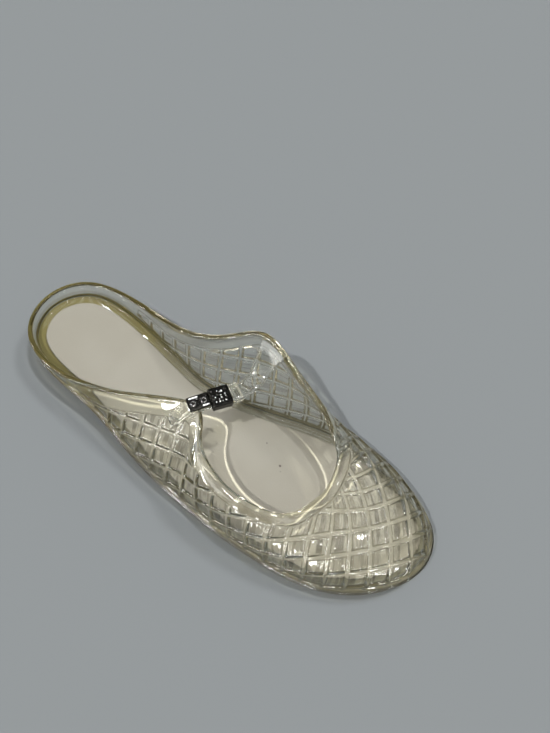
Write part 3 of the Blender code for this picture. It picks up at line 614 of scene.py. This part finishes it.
def ribShare(lines):
    # 1 on a rib's crest, 0 on a pane: half-round over the distance to the nearest line of either family
    near = (np.abs(lines - np.round(lines)) * np.array(ribPitches)).min(axis=-1)
    return np.sqrt(np.clip(1.0 - (near / jelly["ribHalf"]) ** 2, 0.0, 1.0))


def latticeAlong():
    # way round the shoe from the nearer back end of the lattice, negative behind it
    spot = np.mod(columnPlace, girth)
    return np.minimum(spot - placeOf("breastOuter") + body["backOuter"],
                      placeOf("breastInner") + body["backInner"] - spot)


def latticeInside(up, strip, bandFoot):
    # distance to the lattice's nearest border, negative outside it
    return np.minimum(np.minimum(up - strip, bandFoot - up), latticeAlong()[:, None])


def wallHeights(strip, bandFoot, tall):
    # heights of the rows: even steps over strip and lattice, chosen shares of the band, the topline
    onStrip = np.linspace(0.0, 1.0, body["stripRows"], endpoint=False)
    onLattice = np.linspace(0.0, 1.0, body["latticeRows"], endpoint=False)
    onBand = np.array(body["bandShares"])
    return np.concatenate([strip * onStrip, strip + (bandFoot - strip) * onLattice,
                           bandFoot + (tall - bandFoot) * onBand, tall], axis=1)


def bandSwell(up, bandFoot, tall):
    # the band's rise off the wall: a parabola over its width, and a step at its foot that fades upwards
    onBand = np.clip((up - bandFoot) / (tall - bandFoot), 0.0, 1.0)
    onLattice = easeStep(0.0, body["latticeEase"], latticeAlong())[:, None]
    step = body["bandStep"] * easeStep(0.0, body["bandStepRun"], up - bandFoot) * onLattice
    spot = np.mod(columnPlace, girth)[:, None]
    atFront = (easeStep(placeOf("throatOuter"), placeOf("vampOuter"), spot)
               * (1.0 - easeStep(placeOf("vampInner"), placeOf("throatInner"), spot)))
    crown = body["bandCrown"] + (body["frontCrown"] - body["bandCrown"]) * atFront
    return crown * 4.0 * onBand * (1.0 - onBand) + step * (1.0 - onBand**2)


def innerFace(tall):
    # the wall's skin moved inwards by its thickness, from the topline down to a fillet on the seat
    skin = alongCurves(wallCurve, wallRun, tall * np.linspace(1.0, 0.0, body["innerRows"]))
    inner = skin - gridNormals(skin[:, ::-1])[:, ::-1] * last["wall"]
    inner[:, -1, 2] = seatHeight(stationX) + body["fillet"]
    return inner


def beadRings(tops, normals, tall):
    # half an ellipse over the topline, from outer face to inner face
    rise = unit(tops - alongCurves(wallCurve, wallRun, tall - last["edgeReach"])[:, 0])
    reach = normals * last["wall"] / 2.0
    angles = np.linspace(0.0, math.pi, body["beadRows"] + 2)[1:-1]
    return [tops - reach + reach * math.cos(a) + rise * body["beadCrown"] * math.sin(a) for a in angles]


def bandShade(tops):
    # painted shade on the collar band: darker stretches for its dark reflections and the shadow under it, 1
    # within half a length of each centre on the topline
    shade = np.zeros(len(tops))
    edge = body["shadeEdge"]
    for name, share, half, strength in body["bandShades"]:
        row = sectionNames.index(name)
        centre = sectionAt(np.array([sectionPlaces[row] + share * footChords[row]]), "top")
        away = np.linalg.norm(tops - centre, axis=1)
        shade = np.maximum(shade, strength * (1.0 - easeStep(half - edge, half + edge, away)))
    return shade


def storeValue(mesh, key, first, rows, elsewhere):
    # a number for each point: rows of rings from the first point on, one value elsewhere
    values = np.full(len(mesh.vertices), elsewhere)
    values[first:first + rows.size] = rows.ravel()
    mesh.attributes.new(key, "FLOAT", "POINT").data.foreach_set("value", values)


def storeSheet(mesh, first, lines):
    # line numbers of both families as a UV map, read at each corner of the faces
    sheet = np.zeros((len(mesh.vertices), 2))
    sheet[first:first + lines[..., 0].size] = np.moveaxis(lines, 1, 0).reshape(-1, 2)
    corner = np.empty(len(mesh.loops), dtype=int)
    mesh.loops.foreach_get("vertex_index", corner)
    mesh.uv_layers.new(name="sheet").data.foreach_set("uv", sheet[corner].ravel())


def buildBody():
    # outer face: the wall's skin, plus the band's rise, less the depth of the panes
    tall = wallTall[:, None]
    strip = np.minimum(last["strip"], last["stripShare"] * tall)
    bandFoot = bandFootAt(columnPlace, wallCurve, wallRun)[:, None]
    up = wallHeights(strip, bandFoot, tall)
    skin = alongCurves(wallCurve, wallRun, up)
    normals = gridNormals(skin)
    lines = lineNumbers(flatAt(columnPlace, up))
    inside = latticeInside(up, strip, bandFoot)
    sunk = jelly["ribHeight"] * easeStep(0.0, body["zoneEdge"], inside) * (1.0 - ribShare(lines))
    outer = skin + normals * (bandSwell(up, bandFoot, tall) - sunk)[..., None]
    bead = beadRings(skin[:, -1], normals[:, -1], tall)
    edges = {"tread": last["ledge"] - last["draft"], "rim": last["ledge"], "feather": 0.0,
             "innerFace": -last["wall"]}
    seat = seatHeight(stationX)
    levels = {"floor": floorHeight(stationX), "ledge": seat - last["ledgeDepth"], "seat": seat}
    side = ringsFrom(body["side"], edges, levels)
    rings = (side + list(np.moveaxis(outer, 1, 0)) + bead + list(np.moveaxis(innerFace(tall), 1, 0))
             + ringsFrom(body["seat"], edges, levels))
    verts, faces = ringSolid(rings, body["across"], floorHeight, seatHeight)
    material = jellyMaterial("jelly", True, jelly["density"], jelly["roughness"])
    piece = addMesh("upper_and_sole", inFrame(verts), faces, material)

    # for the shader: ways into the lattice, down from the topline and up from the foot, and masks, one of
    # them the band's painted shade
    first = len(side) * len(columnPlace)
    onBead = np.zeros((len(bead), len(columnPlace)))
    fromTop = np.vstack([(tall - up).T, onBead])
    shade = bandShade(skin[:, -1])[:, None] * easeStep(0.0, body["shadeRise"], up - bandFoot)
    storeValue(piece.data, "inside", first, inside.T, body["offLattice"])
    storeValue(piece.data, "crest", first, fromTop, body["offWall"])
    storeValue(piece.data, "outer", first, np.ones_like(fromTop), 0.0)
    storeValue(piece.data, "low", first, up.T, body["offWall"])
    storeValue(piece.data, "shade", first, shade.T, 0.0)
    storeSheet(piece.data, first, lines)
    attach(piece, "root")
    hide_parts("upper", "outsole")
    print("upper and sole", len(faces), "faces")


buildBody()


# Core of the sole: cloudy olive plastic under a clear skin

core = {
    "skin": 1.2, "roof": 0.9, "base": 0.8, "across": 8, "sideLeast": 0.8,
    "heel": (0.29, 0.255, 0.10), "tread": (0.29, 0.278, 0.21), "fade": (50.0, 110.0),
    "cloudScale": 60.0, "cloudDetail": 2.0, "roughness": (0.6, 0.8), "specular": 0.1,
    # painted light: the core glows faintly in its own colour, standing in for light scattered inside the
    # thick sole
    "paintedGlow": 0.12, "passes": (0.95, 0.9, 0.7), "passShare": 0.55,
    "side": [                             # edge, way out from it, level, way up from it
        ("tread", -0.6, "base", 0.0), ("tread", 0.0, "base", 0.5), ("rim", 0.0, "ledge", 0.0),
        ("rim", 0.0, "roof", -0.5), ("rim", -0.6, "roof", 0.0),
    ],
}


def coreMaterial():
    material, wire = newMaterial("sole_core")
    spot = wire.objectSpot()
    fade = spot.axis(0).rises(*((x + shift[0]) * mm for x in core["fade"]))
    colour = fade.mix(core["heel"], core["tread"])
    cloud = spot.noise(core["cloudScale"], core["cloudDetail"])
    # painted light: emission in the core's colour for light scattered inside the sole
    cloudy = wire.principled({
        "Base Color": colour, "Emission Color": colour, "Emission Strength": core["paintedGlow"],
        "Roughness": cloud.ramp(*core["roughness"]), "Specular IOR Level": core["specular"]})
    wire.make("ShaderNodeOutputMaterial", None, {
        "Surface": wire.passLamps(cloudy, core["passShare"], core["passes"])})
    return material


def coreBase(x):
    return floorHeight(x) + core["base"]


def coreRoof(x):
    return seatHeight(x) - core["roof"]


def buildCore():
    # closed solid: rings of the side's table stacked from base to roof, a skin's way inside the sole
    rim = last["ledge"] - core["skin"]
    base = coreBase(stationX)
    roof = coreRoof(stationX)
    ledge = np.maximum(roof - last["ledgeDepth"], base + core["sideLeast"])
    rings = ringsFrom(core["side"], {"tread": rim - last["draft"], "rim": rim},
                      {"base": base, "ledge": ledge, "roof": roof})
    verts, faces = ringSolid(rings, core["across"], coreBase, coreRoof)
    piece = addMesh("sole_core", inFrame(verts), faces, coreMaterial())
    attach(piece, "root")
    print("sole core", len(faces), "faces")


buildCore()


# Insole: thin sock with a rounded edge, cream imitation leather

insole = {
    "inset": 6.6, "bottom": 0.1, "top": 1.5, "across": 24,
    "side": [                             # edge, way out from it, level, way up from it
        ("edge", 0.0, "bottom", 0.0), ("edge", 0.0, "top", -0.5), ("edge", -0.12, "top", -0.18),
        ("edge", -0.45, "top", -0.02), ("edge", -0.9, "top", 0.0),
    ],
    "cream": (0.55, 0.52, 0.43), "warm": (0.515, 0.482, 0.392), "warmFrom": (0.35, 0.7),
    "mottleScale": 26.0, "mottleDetail": 4.0, "roughness": (0.52, 0.66), "specular": 0.35,
    "grainScale": 1400.0, "grainHeight": 0.00006, "grainStrength": 0.5,
    "specks": [(159.5, 4.4, 0.75), (146.5, 10.6, 0.45), (161.5, 2.0, 0.3)],    # x, y and radius
    "speck": (0.14, 0.11, 0.09), "speckTo": (1.1, 1.5), "frayScale": 1600.0,
}


def insoleBottom(x):
    return seatHeight(x) + insole["bottom"]


def insoleTop(x):
    return seatHeight(x) + insole["top"]


def insoleMaterial():
    material, wire = newMaterial("insole_sock")
    spot = wire.objectSpot()
    mottle = spot.noise(insole["mottleScale"], insole["mottleDetail"])
    grain = wire.make("ShaderNodeTexVoronoi", None, {"Vector": spot, "Scale": insole["grainScale"]})
    fray = spot.noise(insole["frayScale"])
    speck = 0.0
    for x, y, radius in insole["specks"]:
        middle = inFrame(np.array([x, y, insoleTop(x)])).tolist()
        away = wire.make("ShaderNodeVectorMath", {"operation": "DISTANCE"}, {0: spot, 1: middle}, "Value")
        speck = wire.calc("MAXIMUM", speck, (away / (radius * mm) + fray).falls(*insole["speckTo"]))
    cream = mottle.rises(*insole["warmFrom"]).mix(insole["cream"], insole["warm"])
    sock = wire.principled({
        "Base Color": speck.mix(cream, insole["speck"]), "Roughness": mottle.ramp(*insole["roughness"]),
        "Normal": grain.bump(insole["grainHeight"], insole["grainStrength"]),
        "Specular IOR Level": insole["specular"]})
    wire.make("ShaderNodeOutputMaterial", None, {"Surface": sock})
    return material


def buildInsole():
    # closed sheet: rings of the side's table stacked from bottom to top, set in from the feather line
    rings = ringsFrom(insole["side"], {"edge": -insole["inset"]},
                      {"bottom": insoleBottom(stationX), "top": insoleTop(stationX)})
    verts, faces = ringSolid(rings, insole["across"], insoleBottom, insoleTop)
    piece = addMesh("insole_sock", inFrame(verts), faces, insoleMaterial())
    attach(piece, "root")
    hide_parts("insole")
    print("insole", len(faces), "faces")


buildInsole()


# Strap: rounded flat section carried along its middle line, from the inner peak to the outer side

strap = {
    "thick": 2.0, "steps": 220, "around": 28, "power": 5.0, "tailRound": 3.0, "tailLeast": 0.02,
    "density": 26.0, "roughness": 0.055,
    "points": {                           # x, y, z and width
        "root": (131.8, 38.8, 60.2, 17.0),
        "leaving": (131.4, 30.0, 55.2, 11.5),
        "sag": (131.4, 18.5, 51.0, 8.6),
        "keeper": (128.0, 9.6, 51.2, 8.0),
        "head": (124.0, 3.0, 52.6, 8.0),
        "plate": (118.5, -6.0, 54.1, 8.0),
        "bend": (114.6, -12.4, 53.8, 8.0),
        "tail": (110.6, -19.5, 45.4, 7.0),
    },
}
strapRows = np.array(list(strap["points"].values()))
strapPlaces = np.append(0.0, np.cumsum(np.linalg.norm(np.diff(strapRows[:, :3], axis=0), axis=1)))


def strapFrame(spots, nudge=0.05):
    # rows of the middle line and its width, and the axes along, across and out of the strap's face
    rows = splineThrough(strapPlaces, strapRows, spots)
    ahead = unit(splineThrough(strapPlaces, strapRows, spots + nudge)[:, :3]
                 - splineThrough(strapPlaces, strapRows, spots - nudge)[:, :3])
    face = unit(upward - ahead * ahead[:, 2:3])
    return rows, np.stack([ahead, np.cross(face, ahead), face], axis=1)


def superRing(count, power):
    # superellipse of the given power, round a unit square
    angle = np.linspace(0.0, fullTurn, count, endpoint=False)
    c = np.cos(angle)
    s = np.sin(angle)
    return np.sign(c) * np.abs(c) ** (2.0 / power), np.sign(s) * np.abs(s) ** (2.0 / power)


def strapJelly(name):
    return jellyMaterial(name, False, strap["density"], strap["roughness"])


def buildStrap():
    # superellipse section along the middle line, narrowed as a quarter circle at the tail
    spots = np.linspace(0.0, strapPlaces[-1], strap["steps"])
    rows, axes = strapFrame(spots)
    middle = rows[:, None, :3]
    width = rows[:, 3]
    x, y = superRing(strap["around"], strap["power"])
    toEnd = np.clip((strapPlaces[-1] - spots) / strap["tailRound"], strap["tailLeast"], 1.0)
    half = width * np.sqrt(1.0 - (1.0 - toEnd) ** 2) / 2.0
    verts = (middle + axes[:, None, 1] * half[:, None, None] * x[None, :, None]
             + axes[:, None, 2] * strap["thick"] / 2.0 * y[None, :, None])
    faces = tubeFaces(strap["steps"], strap["around"])
    piece = addMesh("instep_strap", inFrame(verts.reshape(-1, 3)), faces, strapJelly("strap_jelly"))
    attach(piece, "root")
    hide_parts("strap")
    print("strap", len(faces), "faces")


buildStrap()


# Clasp: dark metal blocks from the frame, set with stones, balls, rings and bars on their top faces

clasp = {
    "finishes": {                         # colour and roughness
        "gunmetal": ((0.018, 0.017, 0.015), 0.22),
        "bright_trim": ((0.92, 0.92, 0.9), 0.34),
        "dark_stones": ((0.05, 0.048, 0.046), 0.06),
        "ring_trim": ((0.22, 0.215, 0.21), 0.2),
    },
    "rubScale": 900.0, "rubDetail": 3.0, "rubFrom": (0.35, 0.75), "rubLighter": 1.6, "rubRough": (0.7, 1.4),
    "blocks": {"head": (0.0, 2.5), "plate": (0.6, 3.7)},    # way past its strap point, height of its top
}


def metalMaterial(name):
    # metal rubbed lighter in spots
    colour, roughness = clasp["finishes"][name]
    material, wire = newMaterial(name)
    rub = wire.objectSpot().noise(clasp["rubScale"], clasp["rubDetail"])
    lighter = [min(1.0, part * clasp["rubLighter"]) for part in colour]
    metal = wire.principled({
        "Base Color": rub.rises(*clasp["rubFrom"]).mix(colour, lighter), "Metallic": 1.0,
        "Roughness": rub.ramp(*(roughness * share for share in clasp["rubRough"]))})
    wire.make("ShaderNodeOutputMaterial", None, {"Surface": metal})
    return material


def claspFrame(point, past):
    # a point of the strap's middle line, and the axes along, across and out of the strap there
    place = strapPlaces[list(strap["points"]).index(point)] + past
    rows, axes = strapFrame(np.array([place]))
    return rows[0, :3], axes[0]


def trimPiece(name, local, faces, block, material, smooth=True):
    # points along, across and up from the middle of a block's top face
    past, top = clasp["blocks"][block]
    origin, axes = claspFrame(block, past)
    verts = origin + (local.reshape(-1, 3) + upward * top) @ axes
    piece = addMesh(name, inFrame(verts), faces, material, smooth)
    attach(piece, "root")


stones = {
    "grids": {"head": ((8.4, 8.2), (4, 4)), "plate": ((9.4, 4.2), (5, 2))},    # spans and counts
    "size": 0.92, "radii": (1.0, 1.0, 0.55), "heights": (-0.25, 0.05, 0.42), "sides": 8,
    "tilt": 0.1, "seed": 4,
}


def buildStones(block, material):
    # each stone: rings of points at the given radii and heights, turned and tilted at random
    span, counts = stones["grids"][block]
    spread = np.array(span) / 2.0 - stones["size"]
    across, along = np.meshgrid(np.linspace(-spread[1], spread[1], counts[1]),
                                np.linspace(-spread[0], spread[0], counts[0]))
    random = np.random.default_rng(stones["seed"])
    spin = random.uniform(0.0, math.pi, along.size)[:, None, None]
    tilt = random.uniform(-stones["tilt"], stones["tilt"], (along.size, 2))[:, :, None, None]
    radius = np.array(stones["radii"])[None, :, None] * stones["size"]
    height = np.array(stones["heights"])[None, :, None] * stones["size"]
    angle = np.linspace(0.0, fullTurn, stones["sides"], endpoint=False) + spin
    u = radius * np.cos(angle)
    v = radius * np.sin(angle)
    w = height + u * tilt[:, 0] + v * tilt[:, 1]
    local = np.stack([u + along.reshape(-1, 1, 1), v + across.reshape(-1, 1, 1), w], axis=-1)
    one = tubeFaces(len(stones["radii"]), stones["sides"])
    faces = repeated(one, along.size, len(stones["radii"]) * stones["sides"])
    trimPiece(block + "_stones", local, faces, block, material, smooth=False)


balls = {
    "count": 16, "sizes": (0.2, 0.42), "spread": 3.5, "lift": 0.5, "seed": 4,
    "rings": 7, "around": 10, "pole": 0.2,
}


def buildBalls(block, material):
    # small balls: sphere grid scaled by each ball's radius, scattered over the block
    count = balls["count"]
    random = np.random.default_rng(balls["seed"])
    radius = random.uniform(*balls["sizes"], count)
    flat = random.uniform(-balls["spread"], balls["spread"], (count, 2))
    centre = np.column_stack([flat, np.full(count, balls["lift"])])
    polar = np.linspace(balls["pole"], math.pi - balls["pole"], balls["rings"])[:, None]
    turn = np.linspace(0.0, -fullTurn, balls["around"], endpoint=False)[None, :]
    ball = np.stack([np.sin(polar) * np.cos(turn), np.sin(polar) * np.sin(turn),
                     np.cos(polar) + 0.0 * turn], axis=-1).reshape(-1, 3)
    local = centre[:, None] + ball[None] * radius[:, None, None]
    faces = repeated(tubeFaces(balls["rings"], balls["around"]), count, len(ball))
    trimPiece(block + "_points", local, faces, block, material)


loops = {
    "middles": [(2.9, 0.5), (-2.6, 0.3)],                   # along and across
    "radius": 1.25, "thin": 0.3, "lift": 0.5, "steps": 28, "around": 10,
}


def buildRings(block, material):
    # torus: a circle of the thin radius turned round each middle
    thin = loops["thin"]
    a = np.linspace(0.0, fullTurn, loops["steps"], endpoint=False)[:, None]
    b = np.linspace(0.0, -fullTurn, loops["around"], endpoint=False)[None, :]
    reach = loops["radius"] + thin * np.cos(b)
    torus = np.stack([reach * np.cos(a), reach * np.sin(a), thin * np.sin(b) + 0.0 * a], axis=-1)
    torus = torus.reshape(-1, 3)
    middles = np.array([(*middle, thin * loops["lift"]) for middle in loops["middles"]])
    local = middles[:, None] + torus[None]
    one = ringQuads(loops["steps"], loops["around"], closed=True).tolist()
    trimPiece(block + "_rings", local, repeated(one, len(local), len(torus)), block, material)


bars = {
    "rows": [(1.9, -2.55, 5.0), (-2.9, 2.75, 3.6)],         # middle along and across, length
    "radius": 0.42, "endPower": 8, "endLeast": 0.002, "steps": 24, "around": 12,
}


def buildBars(block, material):
    # round bars along the block's edges: the root of 1 - share^endPower rounds the ends
    share = np.linspace(-1.0, 1.0, bars["steps"])[:, None]
    turn = np.linspace(0.0, fullTurn, bars["around"], endpoint=False)[None, :]
    thin = bars["radius"] * np.sqrt(np.clip(1.0 - np.abs(share) ** bars["endPower"], bars["endLeast"], 1.0))
    for number, (along, across, length) in enumerate(bars["rows"]):
        local = np.stack([along + share * length / 2.0 + 0.0 * turn, across + thin * np.cos(turn),
                          thin * np.sin(turn)], axis=-1)
        trimPiece(f"{block}_bar_{number}", local, tubeFaces(bars["steps"], bars["around"]), block, material)


keeper = {
    "length": 4.2, "wide": 10.0, "tall": 4.4, "wall": 0.8, "past": -0.6,
    "loopPower": 6.0, "wallPower": 3.5, "steps": 64, "around": 20,
}


def buildKeeper():
    # rounded loop: a superellipse path round the strap, with a flat superellipse section
    wide = keeper["wide"]
    tall = keeper["tall"]
    wall = keeper["wall"]
    px, py = superRing(keeper["steps"], keeper["loopPower"])
    sx, sy = superRing(keeper["around"], keeper["wallPower"])
    path = np.column_stack([px * (wide - wall) / 2.0, py * (tall - wall) / 2.0])
    out = unit(np.column_stack([px / wide, py / tall]))
    section = path[:, None] + out[:, None] * (sy * wall / 2.0)[None, :, None]
    along = np.broadcast_to(sx[:, None] * keeper["length"] / 2.0, (*section.shape[:2], 1))
    local = np.concatenate([along, section], axis=-1)
    origin, axes = claspFrame("keeper", keeper["past"])
    faces = ringQuads(keeper["steps"], keeper["around"], closed=True).tolist()
    verts = inFrame(origin + local.reshape(-1, 3) @ axes)
    piece = addMesh("strap_keeper", verts, faces, strapJelly("keeper_jelly"))
    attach(piece, "root")
    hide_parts("keeper")


def buildClasp():
    gunmetal = metalMaterial("gunmetal")
    bright = metalMaterial("bright_trim")
    gem = metalMaterial("dark_stones")
    kept = {"clasp_head": gunmetal, "clasp_plate": gunmetal, "stud": strapJelly("stud_jelly")}
    for name, material in kept.items():
        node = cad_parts[name]
        node.data.materials.clear()
        node.data.materials.append(material)
    buildStones("head", gem)
    buildStones("plate", gem)
    buildBalls("head", bright)
    buildRings("plate", metalMaterial("ring_trim"))
    buildBars("plate", bright)
    buildKeeper()
    print("clasp dressed")


buildClasp()


# Floor, light and camera: lamps stand round the shoe, sizes in metres

floor = {
    "drop": 0.0002, "size": 24.0, "colour": (0.378, 0.402, 0.41),
    "roughness": (0.4, 0.5), "cloudScale": 3.0, "cloudDetail": 3.0,
}


def buildFloor():
    material, wire = newMaterial("floor")
    cloud = wire.objectSpot().noise(floor["cloudScale"], floor["cloudDetail"])
    plain = wire.principled({
        "Base Color": floor["colour"], "Specular IOR Level": 0.0,
        "Roughness": cloud.ramp(*floor["roughness"])})
    wire.make("ShaderNodeOutputMaterial", None, {"Surface": plain})
    half = floor["size"] / 2.0
    corners = np.array([(-half, -half), (half, -half), (half, half), (-half, half)])
    sheet = np.column_stack([corners, np.full(4, -floor["drop"])])
    addMesh("floor", sheet, [[0, 1, 2, 3]], material)


lamps = {
    "world": (0.95, 0.98, 1.0), "worldStrength": 0.13, "backdrop": (0.3, 0.323, 0.333),
    "suns": [      # where it shines from, watts per square metre, width in degrees, whether it glints
        ((-0.16, -0.69, 1.8), 0.99, 1.2, True),
        ((0.19, 0.43, 1.8), 0.71, 1.2, True),
        ((0.40, 0.92, 1.7), 0.63, 8.7, False),
    ],
    "bars": {"count": 10, "turns": (-150.0, -15.0), "radius": 1.3, "height": 0.42,
             "size": (0.06, 0.6), "watts": 3.6},
    "card": {"spot": (-0.65, -1.12, 1.1), "size": (1.2, 0.6), "watts": 10.0},
    "strips": {"count": 16, "step": 0.13, "middle": (0.35, 0.05, 1.5), "along": (0.806, 0.592, 0.0),
               "size": (0.05, 1.6), "watts": 0.55},
    "spots": {"count": 3, "step": 0.75, "height": 1.7, "size": (0.06, 0.06), "watts": 1.7},
}


def addLamp(name, kind, spot, aim, watts):
    data = bpy.data.lights.new(name, kind)
    data.energy = watts
    lamp = bpy.data.objects.new(name, data)
    lamp.location = spot
    lamp.rotation_euler = (Vector(aim) - Vector(spot)).to_track_quat("-Z", "Y").to_euler()
    bpy.context.scene.collection.objects.link(lamp)
    return lamp


def addCard(name, values, spot, aim=(0.0, 0.0, 0.0)):
    # a lamp that shows only in glossy surfaces
    lamp = addLamp(name, "AREA", spot, aim, values["watts"])
    lamp.data.shape = "RECTANGLE"
    lamp.data.size, lamp.data.size_y = values["size"]
    lamp.visible_camera = False
    lamp.visible_diffuse = False
    return lamp


def buildWorld():
    world = bpy.data.worlds.new("studio")
    world.use_nodes = True
    world.node_tree.nodes.clear()
    wire = Wire(world.node_tree)
    light = wire.make("ShaderNodeBackground", None, {
        "Color": lamps["world"], "Strength": lamps["worldStrength"]})
    backdrop = wire.make("ShaderNodeBackground", None, {"Color": lamps["backdrop"]})
    cameraRay = wire.make("ShaderNodeLightPath", output="Is Camera Ray")
    sky = wire.make("ShaderNodeMixShader", None, {0: cameraRay, 1: light, 2: backdrop})
    wire.make("ShaderNodeOutputWorld", None, {"Surface": sky})
    bpy.context.scene.world = world


def buildLamps():
    for number, (spot, watts, spread, glints) in enumerate(lamps["suns"]):
        sun = addLamp(f"sun_{number}", "SUN", spot, (0.0, 0.0, 0.0), watts)
        sun.data.angle = math.radians(spread)
        sun.visible_glossy = glints
    bar = lamps["bars"]
    for number, turn in enumerate(np.radians(np.linspace(*bar["turns"], bar["count"]))):
        spot = (bar["radius"] * math.cos(turn), bar["radius"] * math.sin(turn), bar["height"])
        addCard(f"bar_{number}", bar, spot, (0.0, 0.0, bar["height"]))
    addCard("card", lamps["card"], lamps["card"]["spot"])
    strip = lamps["strips"]
    step = np.array(strip["along"]) * strip["step"]
    for number in range(strip["count"]):
        spot = np.array(strip["middle"]) + step * (number - (strip["count"] - 1) / 2.0)
        card = addCard(f"strip_{number}", strip, spot, spot - upward)
        card.rotation_euler = (0.0, 0.0, math.atan2(step[1], step[0]))
    dot = lamps["spots"]
    ways = (np.arange(dot["count"]) - (dot["count"] - 1) / 2.0) * dot["step"]
    for i, j in np.ndindex(dot["count"], dot["count"]):
        addCard(f"spot_{i}_{j}", dot, (ways[i], ways[j], dot["height"]))


camera = {
    "spot": (263.7, -141.8, 525.5),       # in the last's own frame, mm
    "look": (-0.2461, 0.3350, -0.9095),
    "focalPixels": 1050.0, "imageHeight": 733.0, "sensor": 36.0, "nearest": 0.01,
}


def buildCamera():
    data = bpy.data.cameras.new("camera")
    data.sensor_width = camera["sensor"]
    data.lens = camera["focalPixels"] / camera["imageHeight"] * camera["sensor"]
    data.clip_start = camera["nearest"]
    eye = bpy.data.objects.new("camera", data)
    eye.location = Vector(inFrame(np.array(camera["spot"])))
    eye.rotation_euler = Vector(camera["look"]).normalized().to_track_quat("-Z", "Y").to_euler()
    bpy.context.scene.collection.objects.link(eye)
    bpy.context.scene.camera = eye


lightPaths = {
    "caustics_refractive": False, "caustics_reflective": False, "max_bounces": 24, "glossy_bounces": 16,
    "transmission_bounces": 24, "transparent_max_bounces": 16,
}

buildFloor()
buildWorld()
buildLamps()
buildCamera()
bpy.context.scene.view_settings.view_transform = "Standard"
for setting, value in lightPaths.items():
    setattr(bpy.context.scene.cycles, setting, value)
print("studio set")
